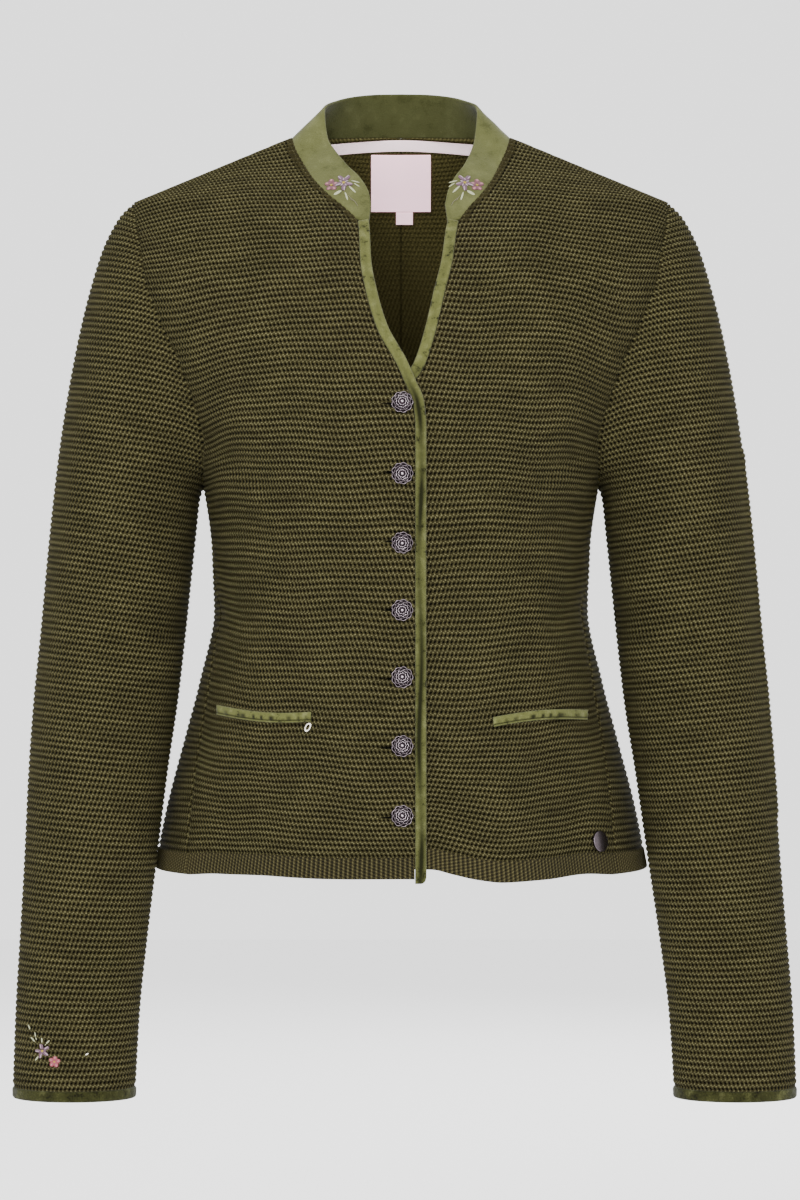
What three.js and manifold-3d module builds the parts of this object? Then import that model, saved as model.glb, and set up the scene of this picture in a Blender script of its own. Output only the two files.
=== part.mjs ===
// Trachten cardigan for a woman, size M, filled out as it is when worn.
// Millimetres. X runs to the wearer's left, -Y is the front, +Z is up.
// The origin lies between the shoulders at the height of the neck points.
// Each knitted or velvet piece is a closed wall, built from points on one body form.

import * as THREE from 'three';
import { mergeVertices } from 'three/addons/utils/BufferGeometryUtils.js';
import Module from 'manifold-3d';

const wasm = await Module();
wasm.setup();

// Walls and seams

const KNIT_WALL = 2.4;
const COLLAR_WALL = 2.6;
const HEM_WALL = 2.8;
const SEAM_GAP = 0.34;

// Heights of the main lines

const HEM = -512;
const HEM_BAND = 14;
const HEM_SEAM = HEM + HEM_BAND;
const ARMPIT = -243.5;
const SHOULDER_TIP = { x: 189.6, z: -41.8 };
const NECK_POINT = { x: 77.4, z: 5 };
const BACK_NECK = 12;

// Armholes: how far each edge bows round the form from the side, in degrees

const ARMHOLE_FRONT = 28;
const ARMHOLE_BACK = 25;

// Body form: half width, depth of the front half and of the back half at each height

const SECTIONS = [
  { z: -516, halfWidth: 175, front: 138, back: 152 },
  { z: -470, halfWidth: 166, front: 132, back: 145 },
  { z: -420, halfWidth: 153, front: 122, back: 131 },
  { z: -380, halfWidth: 142.5, front: 115, back: 118 },
  { z: -332, halfWidth: 133, front: 109, back: 104 },
  { z: -288, halfWidth: 134, front: 113, back: 104 },
  { z: -243.5, halfWidth: 140, front: 121, back: 112 },
  { z: -205, halfWidth: 151.5, front: 124, back: 118 },
  { z: -165, halfWidth: 171, front: 117, back: 119 },
  { z: -125, halfWidth: 191, front: 105, back: 117 },
  { z: -100, halfWidth: 198, front: 97, back: 113 },
  { z: -65, halfWidth: 195, front: 79, back: 103 },
  { z: -41.8, halfWidth: 189.6, front: 59, back: 92 },
  { z: -28, halfWidth: 156.8, front: 44, back: 82 },
  { z: -15, halfWidth: 125.5, front: 30, back: 70 },
  { z: 5, halfWidth: 77.4, front: 20, back: 54 },
  { z: 14, halfWidth: 55.8, front: 18, back: 50 },
];

// Side seam: degrees round the form from the centre front

const SIDE_SEAM = [
  { z: -516, turn: 58 },
  { z: -420, turn: 66 },
  { z: -332, turn: 76 },
  { z: -243.5, turn: 90 },
];

// Knit edge of each front, as a distance from the centre line towards its own side.
// The neck seam runs above -62.5, the V below it, and under -240 the fronts lap.

const FRONT_EDGES = [
  { z: -516, right: -9, left: -9 },
  { z: -240, right: -9, left: -9 },
  { z: -206, right: -9, left: -8 },
  { z: -190, right: -7.5, left: -2.5 },
  { z: -178, right: -2.5, left: 7 },
  { z: -165, right: 3, left: 16 },
  { z: -140, right: 16.5, left: 24 },
  { z: -112, right: 24.5, left: 30.5 },
  { z: -91, right: 28.3, left: 35.6 },
  { z: -62.5, right: 30, left: 40 },
  { z: -51, right: 39.5, left: 47 },
  { z: -41, right: 50.5, left: 55.5 },
  { z: -28, right: 61.5, left: 64 },
  { z: -15, right: 69, left: 70 },
  { z: -5, right: 74.2, left: 74.4 },
  { z: 5, right: 77.4, left: 77.4 },
];

// Height on the front edge of each row of points above the armpit, by its step there

const EDGE_ROWS = [
  { step: 1, z: -243.5 },
  { step: 1.167, z: -190 },
  { step: 1.333, z: -130 },
  { step: 1.5, z: -62.5 },
  { step: 1.667, z: -37 },
  { step: 1.833, z: -12 },
  { step: 2, z: 5 },
];

// Sleeve rings from the armhole to the cuff: the ring's outer and inner point,
// how far its middle lies forward, and half its depth

const SLEEVE = [
  { ring: 0, outer: 189.6, outerZ: -41.8, inner: 140.6, innerZ: -243.5, forward: 0, halfDepth: 50 },
  { ring: 1, outer: 198, outerZ: -49.7, inner: 141.4, innerZ: -245, forward: 0, halfDepth: 50.5 },
  { ring: 2, outer: 209.5, outerZ: -70, inner: 142, innerZ: -247.5, forward: -1, halfDepth: 51 },
  { ring: 3, outer: 221.5, outerZ: -108, inner: 142.8, innerZ: -251.5, forward: -2, halfDepth: 51 },
  { ring: 4, outer: 232.5, outerZ: -158, inner: 143.6, innerZ: -259, forward: -3, halfDepth: 50 },
  { ring: 5, outer: 242, outerZ: -217, inner: 144.8, innerZ: -272, forward: -4, halfDepth: 48 },
  { ring: 6, outer: 249.5, outerZ: -285, inner: 147.6, innerZ: -300, forward: -6, halfDepth: 46 },
  { ring: 7, outer: 254.5, outerZ: -345, inner: 152.5, innerZ: -350, forward: -11, halfDepth: 44 },
  { ring: 8, outer: 258.5, outerZ: -394, inner: 157, innerZ: -394, forward: -21, halfDepth: 42 },
  { ring: 9, outer: 260.5, outerZ: -440, inner: 163, innerZ: -440, forward: -34, halfDepth: 40 },
  { ring: 10, outer: 262, outerZ: -498, inner: 169.5, innerZ: -498, forward: -46, halfDepth: 37 },
  { ring: 11, outer: 264.5, outerZ: -555, inner: 176, innerZ: -555, forward: -53, halfDepth: 34 },
  { ring: 12, outer: 267, outerZ: -605, inner: 181, innerZ: -605, forward: -57, halfDepth: 32 },
  { ring: 13, outer: 268.7, outerZ: -660, inner: 184, innerZ: -660, forward: -60, halfDepth: 30 },
];
const CUFF_BINDING = { height: 7, thickness: 3.4, proud: 0.5 };
const LEFT_CUFF_SPREAD = 5;

// Top edge of the collar: 0 is the centre back, 1 the neck point and 2 the front end

const COLLAR_TOP = [
  { along: 0, x: 0, y: 44, z: 42.5 },
  { along: 0.26, x: 16, y: 42, z: 42 },
  { along: 0.52, x: 32, y: 36, z: 40 },
  { along: 0.78, x: 46, y: 24, z: 35.5 },
  { along: 1, x: 54.4, y: 5, z: 28 },
  { along: 1.3, x: 51.7, y: -13, z: 4 },
  { along: 1.49, x: 46.8, y: -22, z: -5.2 },
  { along: 1.68, x: 37.8, y: -37, z: -17.8 },
  { along: 1.83, x: 28, y: -50, z: -29 },
  { along: 1.955, x: 22.5, y: -58, z: -39 },
  { along: 2, x: 20.5, y: -66, z: -49 },
];
const COLLAR_END = { right: { x: 22, z: -62.5 }, left: { x: 32, z: -62.5 } };
const COLLAR_LEFT_SHIFT = 10;
const COLLAR_ROWS = 3;

// Lap of the right front over the left front

const LAP = { lift: 4.2, fullFrom: -26, noneFrom: -88, topFull: -140, topNone: -80 };

// Velvet binding of the front edges: its section across and out from the knit's outer face

const BINDING_SECTION = [
  { across: 0.34, out: -2.8 },
  { across: 0.34, out: 0.5 },
  { across: 3.6, out: 0.7 },
  { across: 6.8, out: 0.3 },
  { across: 8.0, out: -1.2 },
  { across: 6.8, out: -2.6 },
  { across: 3.6, out: -3.0 },
];

const BINDING_DROP = 1.6;
const BINDING_FOOT = 3;

// Buttons down the centre front

const BUTTONS = { count: 7, first: -190.5, pitch: 46.4, x: 0.8, lobes: 9 };
const BUTTON_PROFILE = [
  { radius: 1.4, height: 0 },
  { radius: 6.6, height: 0 },
  { radius: 7.5, height: 1.0 },
  { radius: 5.4, height: 2.9 },
  { radius: 2.2, height: 4.1 },
];
const BUTTON_TOP = 4.6;
const BUTTON_SCALLOP = 0.35;
const BUTTONHOLE = { toEdge: 2.6, away: 16, height: 3.8, tipHeight: 1.2 };

// Pocket welts: outer and inner end of the top edge

const WELT = { height: 6.8, thickness: 2, columns: 6, out: 0.6 };
const WELT_ENDS = {
  right: { outer: { x: -126, z: -396 }, inner: { x: -59.7, z: -399.5 } },
  left: { outer: { x: 127.5, z: -399.5 }, inner: { x: 61.5, z: -403 } },
};

// Small pieces inside the back neck and at the hem

const TAPE = { width: 7, thickness: 1, below: 1, behind: 1.1 };
const LABEL = { width: 44, height: 37, top: 1.5, thickness: 1, behindTop: 0.5, behindFoot: 1.7 };
const SIZE_TAB = { width: 12.4, height: 9, x: 2.6, thickness: 1, behindTop: 1.7, behindFoot: 1.7 };
const BADGE = { radius: 7.3, thickness: 1.6, turn: 53.5, z: -489, sides: 20 };

// Largest folds: a line on the form, its height or depth, and its half width

const FOLDS = [
  { fromTurn: 27, fromZ: -520, toTurn: 24, toZ: -440, rise: 8, width: 26 },
  { fromTurn: 11, fromZ: -520, toTurn: 11, toZ: -460, rise: -2.5, width: 15 },
  { fromTurn: -26, fromZ: -520, toTurn: -24, toZ: -450, rise: 4, width: 24 },
  { fromTurn: -46, fromZ: -520, toTurn: -44, toZ: -470, rise: -3, width: 18 },
  { fromTurn: 46, fromZ: -520, toTurn: 45, toZ: -470, rise: -3, width: 18 },
  { fromTurn: 148, fromZ: -520, toTurn: 152, toZ: -420, rise: 6, width: 27 },
  { fromTurn: -144, fromZ: -520, toTurn: -150, toZ: -430, rise: 5, width: 25 },
  { fromTurn: 180, fromZ: -520, toTurn: 180, toZ: -450, rise: -3, width: 22 },
  { fromTurn: -180, fromZ: -520, toTurn: -180, toZ: -450, rise: -3, width: 22 },
  { fromTurn: -66, fromZ: -214, toTurn: -44, toZ: -238, rise: -3, width: 11 },
  { fromTurn: -74, fromZ: -262, toTurn: -48, toZ: -276, rise: -2.5, width: 12 },
  { fromTurn: 66, fromZ: -212, toTurn: 46, toZ: -240, rise: -3, width: 11 },
  { fromTurn: 72, fromZ: -258, toTurn: 50, toZ: -270, rise: -2.5, width: 12 },
  { fromTurn: -84, fromZ: -330, toTurn: -52, toZ: -338, rise: -2.5, width: 12 },
  { fromTurn: 84, fromZ: -326, toTurn: 54, toZ: -336, rise: -2.5, width: 12 },
  { fromTurn: 116, fromZ: -318, toTurn: 158, toZ: -330, rise: -4, width: 13 },
  { fromTurn: -112, fromZ: -322, toTurn: -154, toZ: -334, rise: -4, width: 13 },
];
const FOLD_RADIUS = 140;

// Mesh steps

const PANEL_COLUMNS = 10;
const ROWS_BELOW = 11;
const ROWS_ABOVE = 12;
const RINGS_PER_STATION = 1.6;

// Finishes

const KNIT = new THREE.MeshStandardMaterial({ color: 0x4b4629, roughness: 0.95, metalness: 0 });
const RIB = new THREE.MeshStandardMaterial({ color: 0x504a30, roughness: 0.95, metalness: 0 });
const VELVET = new THREE.MeshStandardMaterial({ color: 0x85855a, roughness: 0.8, metalness: 0 });
const WOVEN = new THREE.MeshStandardMaterial({ color: 0xe6dcdc, roughness: 0.85, metalness: 0 });
const SILVER = new THREE.MeshStandardMaterial({ color: 0x8f8688, roughness: 0.4, metalness: 1 });

// Reading tables and mixing values

const { degToRad, radToDeg, lerp, smoothstep } = THREE.MathUtils;

/** Value of a table's column at a place between its rows, on a curve that never overshoots. */
function read(table, column, at, key = 'z') {
  const last = table.length - 1;
  if (at <= table[0][key]) return table[0][column];
  if (at >= table[last][key]) return table[last][column];
  const i = table.findIndex((row) => row[key] > at) - 1;
  const width = table[i + 1][key] - table[i][key];
  const slope = (k) => (table[k + 1][column] - table[k][column]) / (table[k + 1][key] - table[k][key]);
  const tangent = (k) => {
    if (k === 0) return slope(0);
    if (k === last) return slope(last - 1);
    const before = slope(k - 1);
    const after = slope(k);
    return before * after <= 0 ? 0 : (2 * before * after) / (before + after);
  };
  const t = (at - table[i][key]) / width;
  const start = table[i][column] * (1 + 2 * t) * (1 - t) ** 2;
  const end = table[i + 1][column] * t * t * (3 - 2 * t);
  const bends = tangent(i) * t * (1 - t) ** 2 - tangent(i + 1) * t * t * (1 - t);
  return start + end + width * bends;
}

/** Half width of the form: above the shoulder tip it follows the straight shoulder seam. */
function halfWidth(z) {
  if (z <= SHOULDER_TIP.z) return read(SECTIONS, 'halfWidth', z);
  const slope = (SHOULDER_TIP.x - NECK_POINT.x) / (NECK_POINT.z - SHOULDER_TIP.z);
  return NECK_POINT.x + (NECK_POINT.z - z) * slope;
}

/** Bare form at a turn round it, in degrees from the centre front, and a height. */
function formPoint(turn, z) {
  const angle = degToRad(turn);
  const depth = read(SECTIONS, Math.cos(angle) > 0 ? 'front' : 'back', z);
  return new THREE.Vector3(halfWidth(z) * Math.sin(angle), -depth * Math.cos(angle), z);
}

/** Outward normal of the bare form. */
function formNormal(turn, z) {
  const round = formPoint(turn + 0.4, z).sub(formPoint(turn - 0.4, z));
  const up = formPoint(turn, z + 0.8).sub(formPoint(turn, z - 0.8));
  return round.cross(up).normalize();
}

/** Height of the folds over the bare form. */
function foldRise(turn, z) {
  let rise = 0;
  for (const fold of FOLDS) {
    const across = degToRad(1) * FOLD_RADIUS;
    const from = new THREE.Vector2(fold.fromTurn * across, fold.fromZ);
    const line = new THREE.Vector2(fold.toTurn * across, fold.toZ).sub(from);
    const place = new THREE.Vector2(turn * across, z).sub(from);
    const t = THREE.MathUtils.clamp(place.dot(line) / line.lengthSq(), 0, 1);
    const distance = place.sub(line.multiplyScalar(t)).length();
    rise += fold.rise * Math.exp(-((distance / fold.width) ** 2));
  }
  return rise;
}

/** Point of the cloth's outer face with its normal, moved out by a distance. */
function clothPoint(turn, z, out = 0) {
  const normal = formNormal(turn, z);
  const point = formPoint(turn, z).addScaledVector(normal, foldRise(turn, z) + out);
  return { point, normal };
}

/** Turn of a distance from the centre line at a height, on the front half. */
function turnAt(x, z) {
  return radToDeg(Math.asin(THREE.MathUtils.clamp(x / halfWidth(z), -1, 1)));
}

/** Degrees round the form that half a seam gap takes up. */
function gapTurn(turn, z) {
  const step = formPoint(turn + 0.2, z).distanceTo(formPoint(turn - 0.2, z));
  return ((SEAM_GAP / 2) * 0.4) / step;
}

// Rows of points: step 0 is the hem seam, 1 the armpit and 2 the shoulder seam

/** Height of a row at the side, or along the armhole above the armpit. */
function sideHeight(step) {
  if (step <= 1) return lerp(HEM_SEAM, ARMPIT, step);
  return lerp(ARMPIT, SHOULDER_TIP.z, (1 - Math.cos(Math.PI * (step - 1))) / 2);
}

/** Height of a row at the front edge. */
function edgeHeight(step) {
  return step <= 1 ? sideHeight(step) : read(EDGE_ROWS, 'z', step, 'step');
}

/** Turn of a row's end at the side seam or armhole: 1 is the front half, -1 the back half. */
function sideTurn(step, half) {
  if (step <= 1) return read(SIDE_SEAM, 'turn', sideHeight(step));
  const bow = half > 0 ? ARMHOLE_FRONT : ARMHOLE_BACK;
  return 90 - half * bow * Math.sin(Math.PI * (step - 1));
}

/** Mix of even steps of turn, below the armpit, and even steps of width, at the shoulder. */
function rowTurn(fromTurn, toTurn, fromX, toX, share, z, step) {
  const byTurn = lerp(fromTurn, toTurn, share);
  const byWidth = turnAt(lerp(fromX, toX, share), z);
  return lerp(byTurn, byWidth, smoothstep(step, 1, 1.6));
}

/** Place on a front panel: share 0 is its edge and 1 its side. */
function frontPlace(side, share, step) {
  const name = side < 0 ? 'right' : 'left';
  const edgeZ = edgeHeight(step);
  const edgeX = read(FRONT_EDGES, name, edgeZ);
  const endZ = sideHeight(step);
  const endTurn = sideTurn(step, 1);
  const endX = halfWidth(endZ) * Math.sin(degToRad(endTurn));
  const z = lerp(edgeZ, endZ, share);
  const turn = rowTurn(turnAt(edgeX, edgeZ), endTurn, edgeX, endX, share, z, step);
  const limit = step <= 1 ? endTurn - gapTurn(endTurn, z) : 90 - gapTurn(89, z);
  return { turn: side * Math.min(turn, limit), z };
}

/** How far the right front is raised over the left one where they lap. */
function lapLift(side, turn, z) {
  if (side > 0) return 0;
  const x = halfWidth(z) * Math.sin(degToRad(turn));
  const across = smoothstep(x, LAP.noneFrom, LAP.fullFrom);
  return LAP.lift * across * (1 - smoothstep(z, LAP.topFull, LAP.topNone));
}

/** Point of a front panel's outer face, moved out by a distance. */
function frontPoint(side, turn, z, out = 0) {
  return clothPoint(turn, z, out + lapLift(side, turn, z));
}

/** Height of the back neck seam at a distance from the centre. */
function backNeckHeight(x) {
  return BACK_NECK - (BACK_NECK - NECK_POINT.z) * (x / NECK_POINT.x) ** 2;
}

/** Place on half the back: share 0 is its centre and 1 its side. */
function backPlace(side, share, step) {
  const rise = step <= 1 ? 0 : (1 - Math.cos(Math.PI * (step - 1))) / 2;
  const centreZ = step <= 1 ? sideHeight(step) : lerp(ARMPIT, BACK_NECK, rise);
  const endZ = sideHeight(step);
  const endTurn = sideTurn(step, -1);
  const endX = halfWidth(endZ) * Math.sin(degToRad(endTurn));
  const topX = share * SHOULDER_TIP.x;
  const slope = (NECK_POINT.z - SHOULDER_TIP.z) / (SHOULDER_TIP.x - NECK_POINT.x);
  const shoulderZ = NECK_POINT.z - (topX - NECK_POINT.x) * slope;
  const topZ = topX < NECK_POINT.x ? backNeckHeight(topX) : shoulderZ;
  const toTop = smoothstep(step, 1.2, 2) * (topZ - lerp(BACK_NECK, SHOULDER_TIP.z, share));
  const z = lerp(centreZ, endZ, share) + toTop;
  const turn = 180 - rowTurn(0, 180 - endTurn, 0, endX, share, z, step);
  const limit = step <= 1 ? endTurn + gapTurn(endTurn, z) : 90 + gapTurn(91, z);
  return { turn: side * Math.max(turn, limit), z };
}

// Turning grids of points into closed walls

/** Closed mesh between an outer and an inner grid of the same size. */
function wallGeometry(outer, inner, closedRound = false) {
  const rows = outer.length;
  const columns = outer[0].length;
  const layers = [...outer.flat(), ...inner.flat()];
  const index = [];
  const at = (layer, i, j) => layer * rows * columns + i * columns + (j % columns);
  const quad = (a, b, c, d) => index.push(a, b, c, a, c, d);
  const last = closedRound ? columns : columns - 1;
  for (let i = 0; i < rows - 1; i += 1) {
    for (let j = 0; j < last; j += 1) {
      quad(at(0, i, j), at(0, i, j + 1), at(0, i + 1, j + 1), at(0, i + 1, j));
      quad(at(1, i, j), at(1, i + 1, j), at(1, i + 1, j + 1), at(1, i, j + 1));
    }
  }
  for (let j = 0; j < last; j += 1) {
    quad(at(0, 0, j), at(1, 0, j), at(1, 0, j + 1), at(0, 0, j + 1));
    quad(at(0, rows - 1, j), at(0, rows - 1, j + 1), at(1, rows - 1, j + 1), at(1, rows - 1, j));
  }
  if (!closedRound) {
    for (let i = 0; i < rows - 1; i += 1) {
      quad(at(0, i, 0), at(0, i + 1, 0), at(1, i + 1, 0), at(1, i, 0));
      quad(at(0, i, last), at(1, i, last), at(1, i + 1, last), at(0, i + 1, last));
    }
  }
  return facingOut(layers, index);
}

/** Geometry of points and triangles, turned so that its faces point out. */
function facingOut(points, index) {
  const geometry = new THREE.BufferGeometry();
  geometry.setAttribute('position', new THREE.Float32BufferAttribute(points.flatMap((p) => [p.x, p.y, p.z]), 3));
  let volume = 0;
  for (let i = 0; i < index.length; i += 3) {
    const [a, b, c] = [points[index[i]], points[index[i + 1]], points[index[i + 2]]];
    volume += a.dot(b.clone().cross(c));
  }
  geometry.setIndex(volume < 0 ? index.slice().reverse() : index);
  return geometry;
}

/** Grid of values from a function of row and column. */
function grid(rows, columns, make) {
  return Array.from({ length: rows }, (_, i) => Array.from({ length: columns }, (_, j) => make(i, j)));
}

/** Wall of a grid of points that know their normals, from one depth out to another. */
function wallOfPoints(points, outer, inner) {
  const layer = (out) => points.map((row) => row.map((p) => p.point.clone().addScaledVector(p.normal, out)));
  return wallGeometry(layer(outer), layer(inner));
}

/** Normals of a plain grid of points, on the side that a test direction faces. */
function gridNormals(points, closedRound, outwards) {
  const rows = points.length;
  const columns = points[0].length;
  return grid(rows, columns, (i, j) => {
    const before = closedRound ? (j + columns - 1) % columns : Math.max(j - 1, 0);
    const after = closedRound ? (j + 1) % columns : Math.min(j + 1, columns - 1);
    const round = points[i][after].clone().sub(points[i][before]);
    const along = points[Math.min(i + 1, rows - 1)][j].clone().sub(points[Math.max(i - 1, 0)][j]);
    return round.cross(along).normalize().multiplyScalar(outwards);
  });
}

/** Steps of the rows from the hem seam to the shoulder seam. */
function rowSteps() {
  const below = Array.from({ length: ROWS_BELOW }, (_, i) => i / ROWS_BELOW);
  const above = Array.from({ length: ROWS_ABOVE + 1 }, (_, i) => 1 + i / ROWS_ABOVE);
  return [...below, ...above];
}

const STEPS = rowSteps();

// Panels

/** One front with its row of places down to the hem seam. */
function frontGeometry(side) {
  const points = grid(STEPS.length, PANEL_COLUMNS + 1, (i, j) => {
    const { turn, z } = frontPlace(side, j / PANEL_COLUMNS, STEPS[i]);
    return frontPoint(side, turn, z);
  });
  return wallOfPoints(points, 0, -KNIT_WALL);
}

/** Share of the half back at which the neck point lies. */
const NECK_SHARE = NECK_POINT.x / SHOULDER_TIP.x;

/** Shares across the half back: even steps to the neck point, then to the shoulder tip. */
function backShares() {
  const neck = Array.from({ length: 4 }, (_, i) => (NECK_SHARE * i) / 4);
  const shoulder = Array.from({ length: 7 }, (_, i) => lerp(NECK_SHARE, 1, i / 6));
  return [...neck, ...shoulder];
}

/** The whole back, from the right side across the centre to the left side. */
function backGeometry() {
  const shares = backShares();
  const across = [...shares.slice(1).reverse().map((share) => -share), ...shares];
  const points = grid(STEPS.length, across.length, (i, j) => {
    const side = across[j] < 0 ? -1 : 1;
    const { turn, z } = backPlace(side, Math.abs(across[j]), STEPS[i]);
    return clothPoint(turn, z);
  });
  return wallOfPoints(points, 0, -KNIT_WALL);
}

/** A hem band under a run of turns. */
function hemBandGeometry(side, fromTurn, toTurn, columns) {
  const points = grid(3, columns + 1, (i, j) => {
    const z = lerp(HEM, HEM_SEAM - SEAM_GAP, i / 2);
    return frontPoint(side, lerp(fromTurn, toTurn, j / columns), z);
  });
  return wallOfPoints(points, 0.2, 0.2 - HEM_WALL);
}

// Sleeves

/** Point of the armhole: 0 is the shoulder tip, the front comes first, and half way is the armpit. */
function armholePoint(side, angle) {
  const half = Math.sin(angle) >= 0 ? 1 : -1;
  const step = 1 + (1 + Math.cos(angle)) / 2;
  const z = lerp(ARMPIT, SHOULDER_TIP.z, step - 1);
  const bow = half > 0 ? ARMHOLE_FRONT : ARMHOLE_BACK;
  const turn = 90 - bow * Math.sin(angle);
  return clothPoint(side * turn, z);
}

/** Frame of a sleeve ring in the plane across the shoulders. */
function ringFrame(side, ring) {
  const spread = side > 0 ? LEFT_CUFF_SPREAD * smoothstep(ring, 8, 13) : 0;
  const value = (column) => read(SLEEVE, column, ring, 'ring');
  const outer = new THREE.Vector3(side * (value('outer') + spread), 0, value('outerZ'));
  const inner = new THREE.Vector3(side * (value('inner') + spread), 0, value('innerZ'));
  const middle = outer.clone().add(inner).multiplyScalar(0.5);
  const up = outer.clone().sub(inner);
  const halfHeight = up.length() / 2;
  up.normalize();
  const out = new THREE.Vector3(up.z * side, 0, -up.x * side);
  return { middle, up, out, halfHeight, forward: value('forward'), halfDepth: value('halfDepth') };
}

/** Point of a sleeve's outer face. */
function sleevePoint(side, angle, ring) {
  const start = ringFrame(side, 0);
  const from = armholePoint(side, angle).point.sub(start.middle);
  const frame = ringFrame(side, ring);
  const round = smoothstep(ring, 0, 4);
  const up = lerp(from.dot(start.up) / start.halfHeight, Math.cos(angle), round);
  const y = lerp(from.y, frame.forward - frame.halfDepth * Math.sin(angle), round);
  const out = from.dot(start.out) * (1 - round);
  const point = frame.middle.clone();
  point.addScaledVector(frame.up, up * frame.halfHeight).addScaledVector(frame.out, out);
  return point.setY(y);
}

/** Angles round the armhole that fall on the rows of the front and the back. */
function armholeAngles() {
  return Array.from({ length: 2 * ROWS_ABOVE }, (_, i) => (Math.PI * i) / ROWS_ABOVE);
}

/** Grid of a sleeve's outer face, with its first ring a seam gap away from the panels. */
function sleeveGrid(side) {
  const last = SLEEVE.length - 1;
  const rings = Math.round(last * RINGS_PER_STATION);
  const angles = armholeAngles();
  const points = grid(rings + 1, angles.length, (i, j) => sleevePoint(side, angles[j], (last * i) / rings));
  return points;
}

/** One sleeve from the armhole to the cuff seam. */
function sleeveGeometry(side) {
  const outer = sleeveGrid(side);
  const angles = armholeAngles();
  const normals = gridNormals(outer, true, side);
  const centre = ringFrame(side, 0).middle;
  angles.forEach((angle, j) => {
    const { point, normal } = armholePoint(side, angle);
    const next = armholePoint(side, angle + 0.02).point.sub(armholePoint(side, angle - 0.02).point);
    const toSeam = next.cross(normal).normalize();
    if (toSeam.dot(centre.clone().sub(point)) < 0) toSeam.negate();
    const growth = outer[1][j].clone().sub(point).normalize();
    const along = toSeam.dot(growth);
    const away = toSeam.clone().multiplyScalar(1 + along).addScaledVector(normal, 1 - along).normalize();
    outer[0][j] = point.clone().addScaledVector(away, SEAM_GAP * 1.3);
  });
  const inner = outer.map((row, i) => row.map((p, j) => p.clone().addScaledVector(normals[i][j], -KNIT_WALL)));
  angles.forEach((angle, j) => {
    const { point, normal } = armholePoint(side, angle);
    const growth = outer[1][j].clone().sub(point).normalize();
    const dip = THREE.MathUtils.clamp(-growth.dot(normal), 0, 0.8);
    inner[0][j].addScaledVector(growth, (KNIT_WALL * dip) / Math.sqrt(1 - dip * dip));
  });
  return wallGeometry(outer, inner, true);
}

/** Velvet binding round a cuff. */
function cuffBindingGeometry(side) {
  const last = SLEEVE.length - 1;
  const angles = armholeAngles();
  const base = grid(2, angles.length, (i, j) => sleevePoint(side, angles[j], last - 0.1 * (1 - i)));
  const normals = gridNormals(base, true, side)[1];
  const ringAt = (drop, out) => base[1].map((p, j) => {
    return p.clone().addScaledVector(normals[j], out).add(new THREE.Vector3(0, 0, -drop));
  });
  const { height, thickness, proud } = CUFF_BINDING;
  const outer = [ringAt(SEAM_GAP, proud), ringAt(SEAM_GAP + height / 2, proud + 0.3), ringAt(SEAM_GAP + height, proud)];
  const inner = outer.map((row) => row.map((p, j) => p.clone().addScaledVector(normals[j], -thickness)));
  return wallGeometry(outer, inner, true);
}

// Collar and bindings

/** Places of the neck seam from the front end to the centre back, with how far along each lies. */
function neckSeam(side) {
  const name = side < 0 ? 'right' : 'left';
  const end = COLLAR_END[name];
  const places = [{ turn: turnAt(end.x, end.z), z: end.z, along: 2 }];
  const front = STEPS.filter((step) => step > 1.49 && step < 2);
  const drop = NECK_POINT.z - COLLAR_END.right.z;
  front.forEach((step) => {
    const z = edgeHeight(step);
    places.push({ turn: turnAt(read(FRONT_EDGES, name, z), z), z, along: 1 + ((NECK_POINT.z - z) / drop) * 0.97 });
  });
  places.push({ turn: 90, z: NECK_POINT.z, along: 1 });
  backShares().filter((share) => share < NECK_SHARE).reverse().forEach((share) => {
    const x = share * SHOULDER_TIP.x;
    const z = backNeckHeight(x);
    places.push({ turn: 180 - turnAt(x, z), z, along: x / NECK_POINT.x });
  });
  return places.map((place) => ({ ...place, turn: side * place.turn, side }));
}

/** Point of the collar's top edge at a place of the neck seam. */
function collarTop(place) {
  const value = (column) => read(COLLAR_TOP, column, place.along, 'along');
  const shift = place.side > 0 ? COLLAR_LEFT_SHIFT * smoothstep(place.along, 1.2, 2) : 0;
  return new THREE.Vector3(place.side * (value('x') + shift), value('y'), value('z'));
}

/** The stand collar, one strip from front end to front end. */
function collarGeometry() {
  const right = neckSeam(-1);
  const left = neckSeam(1).reverse().slice(1);
  const places = [...right, ...left];
  const outer = grid(COLLAR_ROWS + 1, places.length, (i, j) => {
    const seam = clothPoint(places[j].turn, places[j].z).point;
    const top = collarTop(places[j]);
    const growth = top.clone().sub(seam).normalize();
    const start = seam.addScaledVector(growth, 1.3 * SEAM_GAP);
    return start.lerp(top, i / COLLAR_ROWS);
  });
  const normals = gridNormals(outer, false, 1);
  const inner = outer.map((row, i) => row.map((p, j) => p.clone().addScaledVector(normals[i][j], -COLLAR_WALL)));
  return wallGeometry(outer, inner);
}

/** Places of a front's edge from the hem to the collar. */
function edgePlaces(side) {
  const name = side < 0 ? 'right' : 'left';
  const steps = STEPS.filter((step) => step < 1.49);
  const foot = side < 0 ? HEM - BINDING_FOOT : HEM;
  const heights = [foot, HEM + BINDING_FOOT, ...steps.map(edgeHeight), COLLAR_END.right.z - BINDING_DROP];
  return heights.map((z) => ({ turn: side * turnAt(read(FRONT_EDGES, name, z), z), z }));
}

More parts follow.
